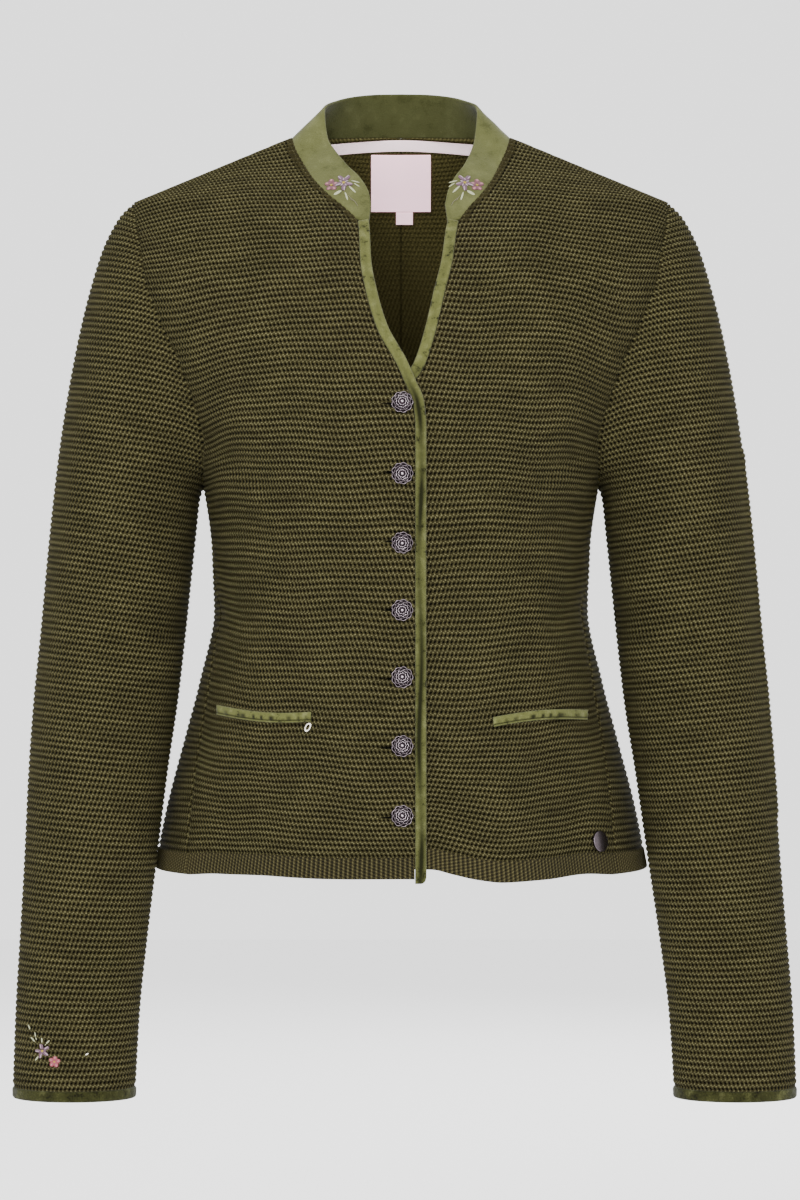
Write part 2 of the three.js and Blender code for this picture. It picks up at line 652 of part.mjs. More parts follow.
/** Velvet binding along a front's edge, a round-backed strip. */
function bindingGeometry(side) {
  const places = edgePlaces(side);
  const points = places.map(({ turn, z }) => frontPoint(side, turn, z));
  const sections = points.map(({ point, normal }, i) => {
    const next = points[Math.min(i + 1, points.length - 1)].point;
    const before = points[Math.max(i - 1, 0)].point;
    const along = next.clone().sub(before).normalize();
    const across = along.clone().cross(normal).normalize().multiplyScalar(-side);
    const end = i === 0 ? 0.55 : 1;
    return BINDING_SECTION.map((corner) => point.clone()
      .addScaledVector(across, corner.across * (corner.across > 6 ? end : 1))
      .addScaledVector(normal, corner.out));
  });
  return loftGeometry(sections);
}

/** Closed mesh through a run of like closed sections. */
function loftGeometry(sections) {
  const count = sections[0].length;
  const points = sections.flat();
  const index = [];
  for (let i = 0; i < sections.length - 1; i += 1) {
    for (let j = 0; j < count; j += 1) {
      const a = i * count + j;
      const b = i * count + ((j + 1) % count);
      index.push(a, b, b + count, a, b + count, a + count);
    }
  }
  const cap = (start, turned) => {
    for (let j = 1; j < count - 1; j += 1) {
      const face = [start, start + j + 1, start + j];
      index.push(...(turned ? face.reverse() : face));
    }
  };
  cap(0, false);
  cap((sections.length - 1) * count, true);
  return facingOut(points, index);
}

// Pieces that lie on a panel

/** Pocket welt on a front. */
function weltGeometry(side) {
  const ends = side < 0 ? WELT_ENDS.right : WELT_ENDS.left;
  const points = grid(3, WELT.columns + 1, (i, j) => {
    const share = j / WELT.columns;
    const x = lerp(ends.outer.x, ends.inner.x, share);
    const z = lerp(ends.outer.z, ends.inner.z, share) - (WELT.height * i) / 2;
    return frontPoint(side, turnAt(x, z), z);
  });
  return wallOfPoints(points, WELT.out + WELT.thickness, WELT.out);
}

/** Tape inside the back neck, just under the collar seam. */
function tapeGeometry() {
  const half = backShares().filter((share) => share < NECK_SHARE);
  const across = [...half.slice(1).reverse().map((share) => -share), ...half];
  const points = grid(2, across.length, (i, j) => {
    const side = across[j] < 0 ? -1 : 1;
    const x = Math.abs(across[j]) * SHOULDER_TIP.x;
    const z = backNeckHeight(x) - TAPE.below - TAPE.width * i;
    return clothPoint(side * (180 - turnAt(x, z)), z);
  });
  const out = -KNIT_WALL - TAPE.behind;
  return wallOfPoints(points, out, out - TAPE.thickness);
}

/** A small woven piece that hangs inside the back neck. */
function innerPatchGeometry(patch, x, top, height) {
  const points = grid(3, 5, (i, j) => {
    const z = top - (height * i) / 2;
    const behind = KNIT_WALL + lerp(patch.behindTop, patch.behindFoot, i / 2);
    return clothPoint(180 - turnAt(x + patch.width * (j / 4 - 0.5), z), z, -behind);
  });
  return wallOfPoints(points, 0, -patch.thickness);
}

// Buttons, buttonholes and badge

/** Frame of a place on the right front: its point and three directions. */
function placeFrame(side, turn, z, out) {
  const { point, normal } = frontPoint(side, turn, z, out);
  const across = new THREE.Vector3(-normal.y, normal.x, 0).normalize();
  const up = normal.clone().cross(across).normalize();
  return new THREE.Matrix4().makeBasis(across, up, normal).setPosition(point);
}

/** Height of a button down the front. */
function buttonHeight(k) {
  return BUTTONS.first - k * BUTTONS.pitch;
}

/** A domed button with a scalloped rim and the shank that passes through its buttonhole. */
function buttonGeometry(k) {
  const z = buttonHeight(k);
  const shank = LAP.lift - SEAM_GAP;
  const profile = BUTTON_PROFILE.map((row) => new THREE.Vector2(row.radius, row.height));
  const outline = [
    new THREE.Vector2(0, -shank),
    new THREE.Vector2(BUTTON_PROFILE[0].radius, -shank),
    ...profile,
    new THREE.Vector2(0, BUTTON_TOP),
  ];
  const geometry = new THREE.LatheGeometry(outline, 2 * BUTTONS.lobes);
  geometry.deleteAttribute('uv');
  geometry.deleteAttribute('normal');
  const solid = mergeVertices(geometry, 1e-4);
  const position = solid.getAttribute('position');
  for (let i = 0; i < position.count; i += 1) {
    const radius = Math.hypot(position.getX(i), position.getZ(i));
    const lobe = Math.cos(BUTTONS.lobes * Math.atan2(position.getX(i), position.getZ(i)));
    const grow = radius > 4 ? 1 + (BUTTON_SCALLOP * lobe) / radius : 1;
    position.setXYZ(i, position.getX(i) * grow, position.getY(i), position.getZ(i) * grow);
  }
  solid.rotateX(Math.PI / 2);
  solid.applyMatrix4(placeFrame(-1, turnAt(BUTTONS.x, z), z, SEAM_GAP));
  return solid;
}

/** The slit that a buttonhole cuts through the right front. */
function buttonholeGeometry(k) {
  const z = buttonHeight(k);
  const { toEdge, away, height, tipHeight } = BUTTONHOLE;
  const shape = new THREE.Shape([
    new THREE.Vector2(-away, 0),
    new THREE.Vector2(-away / 2, -tipHeight / 2),
    new THREE.Vector2(0, -height / 2),
    new THREE.Vector2(toEdge, 0),
    new THREE.Vector2(0, height / 2),
    new THREE.Vector2(-away / 2, tipHeight / 2),
  ]);
  const depth = 3 * KNIT_WALL;
  const solid = new THREE.ExtrudeGeometry(shape, { depth, bevelEnabled: false, curveSegments: 1 });
  solid.translate(0, 0, -2 * KNIT_WALL);
  solid.applyMatrix4(placeFrame(-1, turnAt(BUTTONS.x, z), z, 0));
  return solid;
}

/** Closed mesh as a solid for cutting. */
function toSolid(geometry) {
  const bare = geometry.clone();
  Object.keys(bare.attributes).filter((name) => name !== 'position').forEach((name) => bare.deleteAttribute(name));
  const merged = mergeVertices(bare, 1e-4);
  const triVerts = Uint32Array.from(merged.getIndex().array);
  const vertProperties = Float32Array.from(merged.getAttribute('position').array);
  return new wasm.Manifold(new wasm.Mesh({ numProp: 3, vertProperties, triVerts }));
}

/** Solid as a three.js geometry. */
function toGeometry(solid) {
  const mesh = solid.getMesh();
  const geometry = new THREE.BufferGeometry();
  geometry.setAttribute('position', new THREE.Float32BufferAttribute(mesh.vertProperties, 3));
  geometry.setIndex(Array.from(mesh.triVerts));
  return geometry;
}

/** The right front with its buttonholes cut through. */
function buttonholedFront() {
  let solid = toSolid(frontGeometry(-1));
  for (let k = 0; k < BUTTONS.count; k += 1) {
    solid = solid.subtract(toSolid(buttonholeGeometry(k)));
  }
  return toGeometry(solid);
}

/** Plain round badge by the left side seam. */
function badgeGeometry() {
  const disc = new THREE.CylinderGeometry(BADGE.radius, BADGE.radius, BADGE.thickness, BADGE.sides);
  disc.rotateX(Math.PI / 2);
  const stand = BADGE.thickness / 2 + 2 * SEAM_GAP;
  disc.applyMatrix4(placeFrame(1, BADGE.turn, BADGE.z, stand));
  return disc;
}

// The whole cardigan

const cardigan = new THREE.Group();

/** Adds a named piece. */
function add(name, geometry, material) {
  const mesh = new THREE.Mesh(geometry, material);
  mesh.name = name;
  cardigan.add(mesh);
}

const sides = [{ name: 'right', side: -1 }, { name: 'left', side: 1 }];
const hemZ = (HEM + HEM_SEAM) / 2;
const hemSeamTurn = read(SIDE_SEAM, 'turn', hemZ);
const hemGap = 2 * gapTurn(hemSeamTurn, hemZ);
const hemEdge = { right: turnAt(FRONT_EDGES[0].right, hemZ), left: turnAt(FRONT_EDGES[0].left, hemZ) };

add('front_right', buttonholedFront(), KNIT);
add('front_left', frontGeometry(1), KNIT);
add('back', backGeometry(), KNIT);
for (const { name, side } of sides) {
  add(`sleeve_${name}`, sleeveGeometry(side), KNIT);
  add(`cuff_binding_${name}`, cuffBindingGeometry(side), VELVET);
  add(`binding_${name}`, bindingGeometry(side), VELVET);
  add(`pocket_welt_${name}`, weltGeometry(side), VELVET);
  const fromTurn = side * hemEdge[name];
  const toTurn = side * (hemSeamTurn - hemGap);
  add(`hem_band_${name}`, hemBandGeometry(side, fromTurn, toTurn, PANEL_COLUMNS), RIB);
}
add('hem_band_back', hemBandGeometry(1, hemSeamTurn + hemGap, 360 - hemSeamTurn - hemGap, 24), RIB);
add('collar', collarGeometry(), VELVET);
add('neck_tape', tapeGeometry(), WOVEN);
add('neck_label', innerPatchGeometry(LABEL, 0, LABEL.top, LABEL.height), WOVEN);
const tabTop = LABEL.top - LABEL.height - SEAM_GAP;
add('size_tab', innerPatchGeometry(SIZE_TAB, SIZE_TAB.x, tabTop, SIZE_TAB.height), WOVEN);
for (let k = 0; k < BUTTONS.count; k += 1) {
  add(`button_${k + 1}`, buttonGeometry(k), SILVER);
}
add('hem_badge', badgeGeometry(), SILVER);

export default cardigan;
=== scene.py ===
"""Looks of a knitted trachten cardigan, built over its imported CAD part.

Lengths in tables and fields are millimetres unless a name says metres. X runs to the wearer's left, -Y is the
front and +Z is up. Every cloth piece is a thin closed shell on the same body form as the solids.
"""

import logging
import math
from collections.abc import Callable, Sequence
from dataclasses import dataclass
from enum import Enum

import bmesh
import bpy
import numpy as np
from mathutils import Matrix, Vector


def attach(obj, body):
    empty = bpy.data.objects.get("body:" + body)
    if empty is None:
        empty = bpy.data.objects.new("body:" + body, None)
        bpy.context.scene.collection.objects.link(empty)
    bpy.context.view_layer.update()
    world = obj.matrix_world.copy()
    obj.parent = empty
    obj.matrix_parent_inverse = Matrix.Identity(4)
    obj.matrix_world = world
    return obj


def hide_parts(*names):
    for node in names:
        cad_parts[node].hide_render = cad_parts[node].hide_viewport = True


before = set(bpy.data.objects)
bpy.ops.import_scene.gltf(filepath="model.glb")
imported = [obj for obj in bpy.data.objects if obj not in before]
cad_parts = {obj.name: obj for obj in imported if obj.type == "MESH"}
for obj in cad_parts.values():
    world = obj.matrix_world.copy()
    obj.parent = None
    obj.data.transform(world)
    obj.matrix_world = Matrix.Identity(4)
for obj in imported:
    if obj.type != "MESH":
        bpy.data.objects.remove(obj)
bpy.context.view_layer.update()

LOG = logging.getLogger("cardigan")
MM = 0.001
Array = np.ndarray
BMesh = bmesh.types.BMesh
Mesh = bpy.types.Mesh
Thing = bpy.types.Object
Socket = bpy.types.NodeSocket
Material = bpy.types.Material


class Side(Enum):
    """Side of the wearer, with the sign of X there."""

    RIGHT = -1
    LEFT = 1

    @property
    def word(self) -> str:
        """Name used in nodes."""
        return self.name.lower()


class Half(Enum):
    """Front or back half of the form."""

    FRONT = 1
    BACK = -1


# Small numeric helpers


def smoothstep(value: Array, low: float, high: float) -> Array:
    """Smooth rise from 0 at low to 1 at high."""
    t = np.clip((np.asarray(value, float) - low) / (high - low), 0, 1)
    return t * t * (3 - 2 * t)


def matched(a: Array, b: Array) -> tuple[Array, Array]:
    """Both as arrays of one shape."""
    return np.broadcast_arrays(np.asarray(a, float), np.asarray(b, float))


def mix(a: Array, b: Array, t: Array) -> Array:
    """Straight mix of a and b."""
    return a + (b - a) * t


def unit(vectors: Array) -> Array:
    """Vectors scaled to length one."""
    return vectors / np.maximum(np.linalg.norm(vectors, axis=-1, keepdims=True), 1e-9)


def bell(distance: Array, width: float) -> Array:
    """Bell of height 1 where the distance is 0."""
    return np.exp(-((distance / width) ** 2))


def distance_along(points: Array) -> Array:
    """Distance along each row of points from its first one."""
    steps = np.linalg.norm(np.diff(points, axis=1), axis=-1)
    return np.concatenate([np.zeros((len(points), 1)), np.cumsum(steps, axis=1)], axis=1)


@dataclass(frozen=True)
class Curve:
    """Smooth curve through places and values that never overshoots them."""

    places: Array
    values: Array

    def __call__(self, at: Array) -> Array:
        """Values at places, held beyond the ends."""
        x, y = self.places, self.values
        at = np.clip(np.asarray(at, float), x[0], x[-1])
        slope = np.diff(y) / np.diff(x)
        tangent = np.empty(len(x))
        tangent[0], tangent[-1] = slope[0], slope[-1]
        before, after = slope[:-1], slope[1:]
        same = before * after > 0
        total = np.where(same, before + after, 1)
        tangent[1:-1] = np.where(same, 2 * before * after / total, 0)
        i = np.clip(np.searchsorted(x, at, side="right") - 1, 0, len(x) - 2)
        width = (x[1:] - x[:-1])[i]
        t = (at - x[i]) / width
        bends = tangent[i] * t * (1 - t) ** 2 - tangent[i + 1] * t * t * (1 - t)
        return y[i] * (1 + 2 * t) * (1 - t) ** 2 + y[i + 1] * t * t * (3 - 2 * t) + width * bends


@dataclass(frozen=True)
class Table:
    """Rows of numbers with named columns; the first column says where each row holds."""

    columns: tuple[str, ...]
    rows: tuple[tuple[float, ...], ...]

    def curve(self, column: str) -> Curve:
        """Curve of one column over the first."""
        data = np.array(self.rows, float)
        return Curve(data[:, 0], data[:, self.columns.index(column)])


# Sizes shared with the solids

KNIT_WALL = 2.4
HEM = -512.0
HEM_BAND = 14.0
HEM_SEAM = HEM + HEM_BAND
ARMPIT = -243.5
LEVEL = -100.0
TIP_X, TIP_Z = 189.6, -41.8
NECK_X, NECK_Z = 77.4, 5.0
BACK_NECK = 12.0
ARMHOLE_BOW = {Half.FRONT: 28.0, Half.BACK: 25.0}
RIDGE_PITCH = 4.1
STITCH_PITCH = 2.9

SECTIONS = Table(
    ("z", "half_width", "front", "back"),
    (
        (-516, 175, 138, 152),
        (-470, 166, 132, 145),
        (-420, 153, 122, 131),
        (-380, 142.5, 115, 118),
        (-332, 133, 109, 104),
        (-288, 134, 113, 104),
        (-243.5, 140, 121, 112),
        (-205, 151.5, 124, 118),
        (-165, 171, 117, 119),
        (-125, 191, 105, 117),
        (-100, 198, 97, 113),
        (-65, 195, 79, 103),
        (-41.8, 189.6, 59, 92),
        (-28, 156.8, 44, 82),
        (-15, 125.5, 30, 70),
        (5, 77.4, 20, 54),
        (14, 55.8, 18, 50),
    ),
)

SIDE_SEAM = Table(("z", "turn"), ((-516, 58), (-420, 66), (-332, 76), (-243.5, 90)))

FRONT_EDGES = Table(
    ("z", "right", "left"),
    (
        (-516, -9, -9),
        (-240, -9, -9),
        (-206, -9, -8),
        (-190, -7.5, -2.5),
        (-178, -2.5, 7),
        (-165, 3, 16),
        (-140, 16.5, 24),
        (-112, 24.5, 30.5),
        (-91, 28.3, 35.6),
        (-62.5, 30, 40),
        (-51, 39.5, 47),
        (-41, 50.5, 55.5),
        (-28, 61.5, 64),
        (-15, 69, 70),
        (-5, 74.2, 74.4),
        (5, 77.4, 77.4),
    ),
)

ROW_DIP = Table(("row", "dip"), ((-498, 0), (-450, 6), (-400, 9), (-320, 5.5), (-243.5, 0)))

ARM_DIP = Table(("row", "dip"), ((-250, 0), (-205, 8), (-155, 12), (-100, 9), (-50, 4), (0, 0)))

HEM_WAVE = Table(
    ("x", "right", "left"),
    (
        (0, 1.4, 8.5),
        (21, 1.2, 8.0),
        (35, 1.0, 4.6),
        (52, 1.0, 0.4),
        (70, 1.4, -2.0),
        (98, 2.4, -0.8),
        (125, 2.2, 2.0),
        (146, 0.0, 0.0),
    ),
)
HEM_WAVE_TOP = -390.0

SLEEVE = Table(
    ("ring", "outer", "outer_z", "inner", "inner_z", "forward", "half_depth"),
    (
        (0, 189.6, -41.8, 140.6, -243.5, 0, 50),
        (1, 198, -49.7, 141.4, -245, 0, 50.5),
        (2, 209.5, -70, 142, -247.5, -1, 51),
        (3, 221.5, -108, 142.8, -251.5, -2, 51),
        (4, 232.5, -158, 143.6, -259, -3, 50),
        (5, 242, -217, 144.8, -272, -4, 48),
        (6, 249.5, -285, 147.6, -300, -6, 46),
        (7, 254.5, -345, 152.5, -350, -11, 44),
        (8, 258.5, -394, 157, -394, -21, 42),
        (9, 260.5, -440, 163, -440, -34, 40),
        (10, 262, -498, 169.5, -498, -46, 37),
        (11, 264.5, -555, 176, -555, -53, 34),
        (12, 267, -605, 181, -605, -57, 32),
        (13, 268.7, -660, 184, -660, -60, 30),
    ),
)

COLLAR_TOP = Table(
    ("along", "x", "y", "z"),
    (
        (0, 0, 44, 42.5),
        (0.26, 16, 42, 42),
        (0.52, 32, 36, 40),
        (0.78, 46, 24, 35.5),
        (1, 54.4, 5, 28),
        (1.3, 51.7, -13, 4),
        (1.49, 46.8, -22, -5.2),
        (1.68, 37.8, -37, -17.8),
        (1.83, 28, -50, -29),
        (1.955, 22.5, -58, -39),
        (2, 20.5, -66, -49),
    ),
)


@dataclass(frozen=True)
class Fold:
    """A soft ridge or trough along a line between two places.

    A turn is in degrees from the centre front, or on a sleeve from its outer line, front first.
    """

    from_turn: float
    from_z: float
    to_turn: float
    to_z: float
    rise: float
    width: float

    def height(self, away: Array, line: Array) -> Array:
        """Height at places away from its start; line runs from its start to its end."""
        t = np.clip(away @ line / (line @ line), 0, 1)
        return self.rise * bell(np.linalg.norm(away - t[..., None] * line, axis=-1), self.width)


MAIN_FOLDS = (
    Fold(27, -520, 24, -440, 8, 26),
    Fold(11, -520, 11, -460, -2.5, 15),
    Fold(-26, -520, -24, -450, 4, 24),
    Fold(-46, -520, -44, -470, -3, 18),
    Fold(46, -520, 45, -470, -3, 18),
    Fold(148, -520, 152, -420, 6, 27),
    Fold(-144, -520, -150, -430, 5, 25),
    Fold(180, -520, 180, -450, -3, 22),
    Fold(-66, -214, -44, -238, -3, 11),
    Fold(-74, -262, -48, -276, -2.5, 12),
    Fold(66, -212, 46, -240, -3, 11),
    Fold(72, -258, 50, -270, -2.5, 12),
    Fold(-84, -330, -52, -338, -2.5, 12),
    Fold(84, -326, 54, -336, -2.5, 12),
    Fold(116, -318, 158, -330, -4, 13),
    Fold(-112, -322, -154, -334, -4, 13),
)

SMALL_FOLDS = (
    Fold(-58, -196, -40, -206, 1.3, 6),
    Fold(-64, -232, -46, -252, 1.2, 7),
    Fold(57, -194, 40, -208, 1.2, 6),
    Fold(63, -230, 44, -250, 1.3, 7),
    Fold(-70, -300, -34, -312, -1.2, 8),
    Fold(68, -296, 36, -306, -1.1, 8),
    Fold(-60, -356, -30, -366, -1.2, 9),
    Fold(62, -352, 32, -360, -1.0, 9),
    Fold(-20, -430, -34, -452, -0.9, 8),
    Fold(33, -424, 20, -446, 1.0, 9),
    Fold(-40, -108, -30, -150, 0.9, 9),
    Fold(41, -104, 30, -148, 0.9, 9),
    Fold(118, -246, 150, -262, -1.6, 9),
    Fold(-116, -240, -148, -258, -1.5, 9),
    Fold(124, -354, 165, -362, 1.6, 9),
    Fold(-120, -360, -160, -372, 1.5, 9),
    Fold(128, -284, 172, -292, 1.4, 9),
    Fold(-124, -288, -168, -300, 1.5, 10),
    Fold(112, -150, 128, -200, -1.4, 9),
    Fold(-113, -156, -130, -204, -1.3, 9),
    Fold(-8.6, -520, -8.8, -338, 0.7, 2.6),
)
FOLD_RADIUS = 140.0
STEP_TURN = 0.4
STEP_Z = 0.8


class BodyForm:
    """The worn form that all pieces of the body lie on."""

    def __init__(self, folds: Sequence[Fold] = MAIN_FOLDS + SMALL_FOLDS) -> None:
        """Reads the tables of sections."""
        self.folds = folds
        self._half = SECTIONS.curve("half_width")
        self._front = SECTIONS.curve("front")
        self._back = SECTIONS.curve("back")
        self._shoulder = (TIP_X - NECK_X) / (NECK_Z - TIP_Z)

    def half_width(self, z: Array) -> Array:
        """Half width at a height; above the shoulder tip it follows the shoulder seam."""
        z = np.asarray(z, float)
        return np.where(z <= TIP_Z, self._half(z), NECK_X + (NECK_Z - z) * self._shoulder)

    def ridge_height(self, x: Array) -> Array:
        """Height of the shoulder line over a distance from the centre."""
        return NECK_Z + (NECK_X - np.asarray(x, float)) / self._shoulder

    def point(self, turn: Array, z: Array) -> Array:
        """Bare form at a turn from the centre front, in degrees, and a height."""
        turn, z = matched(turn, z)
        angle = np.radians(turn)
        depth = np.where(np.cos(angle) > 0, self._front(z), self._back(z))
        return np.stack([self.half_width(z) * np.sin(angle), -depth * np.cos(angle), z], -1)

    def normal(self, turn: Array, z: Array) -> Array:
        """Outward normal of the bare form."""
        turn, z = np.asarray(turn, float), np.asarray(z, float)
        round_ = self.point(turn + STEP_TURN, z) - self.point(turn - STEP_TURN, z)
        up = self.point(turn, z + STEP_Z) - self.point(turn, z - STEP_Z)
        return unit(np.cross(round_, up))

    def fold_rise(self, turn: Array, z: Array) -> Array:
        """Height of the folds over the bare form."""
        turn, z = matched(turn, z)
        across = np.radians(1) * FOLD_RADIUS
        rise = np.zeros(turn.shape)
        for fold in self.folds:
            beside = (turn - fold.from_turn + 180) % 360 - 180
            place = np.stack([beside * across, z - fold.from_z], -1)
            line = np.array([(fold.to_turn - fold.from_turn) * across, fold.to_z - fold.from_z])
            rise += fold.height(place, line)
        return rise

    def cloth(self, turn: Array, z: Array, out: Array = 0.0) -> tuple[Array, Array]:
        """Point of the cloth's outer face moved out by a distance, and the normal."""
        normal = self.normal(turn, z)
        rise = self.fold_rise(turn, z) + out
        return self.point(turn, z) + normal * rise[..., None], normal

    def turn_at(self, x: Array, z: Array) -> Array:
        """Turn of a distance from the centre line at a height, on the front half."""
        width = np.maximum(self.half_width(z), 1e-3)
        return np.degrees(np.arcsin(np.clip(np.asarray(x, float) / width, -1, 1)))


@dataclass(frozen=True)
class Lap:
    """Lift of the right front over the left one."""

    lift: float = 4.2
    full_from: float = -26
    none_from: float = -88
    top_full: float = -140
    top_none: float = -80

    def __call__(self, form: BodyForm, turn: Array, z: Array) -> Array:
        """Lift at places of the right front."""
        x = form.half_width(z) * np.sin(np.radians(turn))
        across = smoothstep(x, self.none_from, self.full_from)
        return self.lift * across * (1 - smoothstep(z, self.top_full, self.top_none))


def hem_wave(side: Side, x: Array, z: Array) -> Array:
    """Rise of a front's hem over a level one, at a distance from the centre line and a height."""
    return HEM_WAVE.curve(side.word)(np.abs(x)) * (1 - smoothstep(z, HEM, HEM_WAVE_TOP))


def back_neck_height(x: Array) -> Array:
    """Height of the back neck seam at a distance from the centre."""
    return BACK_NECK - (BACK_NECK - NECK_Z) * (np.asarray(x, float) / NECK_X) ** 2


class RowField:
    """Knit rows over one half of the form, each known by its height at the level line.

    Above that line a row keeps its distance along the cloth. Rows hang a little at the centre and by the
    armhole.
    """

    COLUMNS = 72
    STEPS = 160
    TOP = 14.0
    EVENNESS = 0.35
    CENTRE_REACH = 150.0
    ARM_FROM = 90.0
    ARM_TO = 165.0
    WAVE = 0.9
    BACK_SHARE = 0.35
    ROUNDS = 12

    def __init__(self, form: BodyForm, side: Side, half: Half) -> None:
        """Measures the cloth upwards from the level line at many distances from the centre."""
        self.form = form
        self.share_of_centre = 1.0 if half is Half.FRONT else self.BACK_SHARE
        self.phase = 1.7 * side.value if half is Half.FRONT else 0.6
        self._dip = ROW_DIP.curve("dip")
        self._arm = ARM_DIP.curve("dip")
        self.x = np.linspace(0, TIP_X, self.COLUMNS)
        q = np.linspace(0, 1, self.STEPS)
        top = self.top(self.x)[:, None]
        z = top - (top - LEVEL) * q[None] ** 2
        turn = form.turn_at(self.x[:, None] + 0 * z, z)
        points = form.point(turn if half is Half.FRONT else 180 - turn, z)
        arc = distance_along(points[:, ::-1])
        total = arc[:, -1]
        share = arc / total[:, None]
        self.total = mix(total, total.max(), self.EVENNESS)
        even = np.linspace(0, 1, self.STEPS)
        self.q_of_share = np.array([np.interp(even, row, q[::-1]) for row in share])
        self.share_of_q = share[:, ::-1]

    def top(self, x: Array) -> Array:
        """Height where the rows are measured to."""
        return np.minimum(self.form.ridge_height(x), self.TOP)

    def _sample(self, grid: Array, x: Array, t: Array) -> Array:
        """Bilinear reading of a grid over distance from the centre and a share."""
        i = np.clip(x / TIP_X * (self.COLUMNS - 1), 0, self.COLUMNS - 1.001)
        j = np.clip(t * (self.STEPS - 1), 0, self.STEPS - 1.001)
        i0, j0 = i.astype(int), j.astype(int)
        fi, fj = i - i0, j - j0
        low = mix(grid[i0, j0], grid[i0, j0 + 1], fj)
        high = mix(grid[i0 + 1, j0], grid[i0 + 1, j0 + 1], fj)
        return mix(low, high, fi)

    def sag(self, x: Array, row: Array) -> Array:
        """How far a row hangs under its level."""
        centre = self._dip(row) * self.share_of_centre * np.clip(1 - (x / self.CENTRE_REACH) ** 2, 0, 1)
        arm = self._arm(row) * smoothstep(x, self.ARM_FROM, self.ARM_TO)
        wave = np.sin(x * 0.055 + row * 0.021 + self.phase)
        wave = wave + 0.5 * np.sin(x * 0.13 - row * 0.034 + 2 * self.phase)
        free = smoothstep(row, HEM_SEAM, HEM_SEAM + 30) * (1 - smoothstep(row, 10, 40))
        return centre + arm + self.WAVE * wave * free

    def height(self, x: Array, row: Array) -> Array:
        """Height of a row at a distance from the centre."""
        x = np.clip(x, 0, TIP_X)
        row = row - self.sag(x, row)
        share = np.clip((row - LEVEL) / np.interp(x, self.x, self.total), 0, 1)
        q = self._sample(self.q_of_share, x, share)
        top = self.top(x)
        return np.where(row > LEVEL, top - (top - LEVEL) * q**2, row)

    def row_at(self, x: Array, z: Array) -> Array:
        """Row that passes through a place."""
        x = np.clip(x, 0, TIP_X)
        top = self.top(x)
        q = np.sqrt(np.clip((top - z) / (top - LEVEL), 0, 1))
        high = LEVEL + self._sample(self.share_of_q, x, q) * np.interp(x, self.x, self.total)
        level = np.where(z > LEVEL, high, z)
        row = level
        for _ in range(self.ROUNDS):
            row = level + self.sag(x, row)
        return row


@dataclass(frozen=True)
class Border:
    """Border of a half panel: its row, turn, distance from the centre and height, by rising row."""

    row: Array
    turn: Array
    x: Array
    z: Array

    def at(self, row: Array) -> tuple[Array, Array]:
        """Turn and distance from the centre where a row meets the border."""
        return np.interp(row, self.row, self.turn), np.interp(row, self.row, self.x)


class HalfPanel:
    """Half of the body's knit on one side: a front, or one half of the back."""

    SAMPLES = 700

    def __init__(self, form: BodyForm, side: Side, half: Half) -> None:
        """Works out both borders of the panel, which meet at the neck point."""
        self.form = form
        self.side = side
        self.half = half
        self.field = RowField(form, side, half)
        self.edge = self._border(*self._edge_places())
        self.outer = self._border(*self._outer_places())
        self.top = min(self.edge.row[-1], self.outer.row[-1]) - 0.8

    def _border(self, x: Array, turn: Array, z: Array) -> Border:
        """Border through places, kept rising in its rows."""
        row = np.maximum.accumulate(self.field.row_at(np.abs(x), z) + 1e-6 * np.arange(len(x)))
        return Border(row, turn, x, z)

    def _edge_places(self) -> tuple[Array, Array, Array]:
        """Distance, turn and height down the front edge, or down the centre back and along the neck."""
        if self.half is Half.FRONT:
            z = np.linspace(HEM_SEAM, NECK_Z, 2 * self.SAMPLES)
            x = FRONT_EDGES.curve(self.side.word)(z)
            return x, self.form.turn_at(x, z), z
        low = np.linspace(HEM_SEAM, BACK_NECK, self.SAMPLES)
        x_low = np.zeros(self.SAMPLES)
        x_high = np.linspace(0, NECK_X, self.SAMPLES)[1:]
        high = back_neck_height(x_high)
        x, z = np.concatenate([x_low, x_high]), np.concatenate([low, high])
        return x, 180 - self.form.turn_at(x, z), z

    def _outer_places(self) -> tuple[Array, Array, Array]:
        """Distance, turn and height up the side seam, the armhole and the shoulder seam."""
        seam_z = np.linspace(HEM_SEAM, ARMPIT, self.SAMPLES)
        seam_turn = SIDE_SEAM.curve("turn")(seam_z)
        angle = np.linspace(np.pi, 0, self.SAMPLES)[1:]
        hole_z = mix(ARMPIT, TIP_Z, (1 + np.cos(angle)) / 2)
        hole_turn = 90 - self.half.value * ARMHOLE_BOW[self.half] * np.sin(angle)
        top_x = np.linspace(TIP_X, NECK_X, self.SAMPLES)[1:]
        top_z = self.form.ridge_height(top_x)
        turn = np.concatenate([seam_turn, hole_turn, np.full(len(top_x), 90.0)])
        z = np.concatenate([seam_z, hole_z, top_z])
        return self.form.half_width(z) * np.sin(np.radians(turn)), turn, z

    def place(self, share: Array, row: Array) -> tuple[Array, Array]:
        """Turn, signed for the side, and height at a share from the edge to the outer border."""
        edge_turn, edge_x = self.edge.at(row)
        outer_turn, outer_x = self.outer.at(row)
        x = mix(edge_x, outer_x, share)
        turn_low = mix(edge_turn, outer_turn, share)
        z = self.field.height(np.abs(x), row)
        by_x = self.form.turn_at(x, z)
        by_x = by_x if self.half is Half.FRONT else 180 - by_x
        turn = mix(turn_low, by_x, smoothstep(row, ARMPIT, LEVEL))
        return self.side.value * turn, z


# Building meshes from grids of points


def eased_shares(length: float, step: float, lip: float) -> Array:
    """Shares of a length with even steps, and finer ones within a lip at both ends."""
    fine = np.array([0, 0.12, 0.35, 0.65, 1.0]) * lip / length
    count = max(int(round((length - 2 * lip) / step)), 1)
    middle = np.linspace(fine[-1], 1 - fine[-1], count + 1)
    return np.concatenate([fine[:-1], middle, 1 - fine[:-1][::-1]])


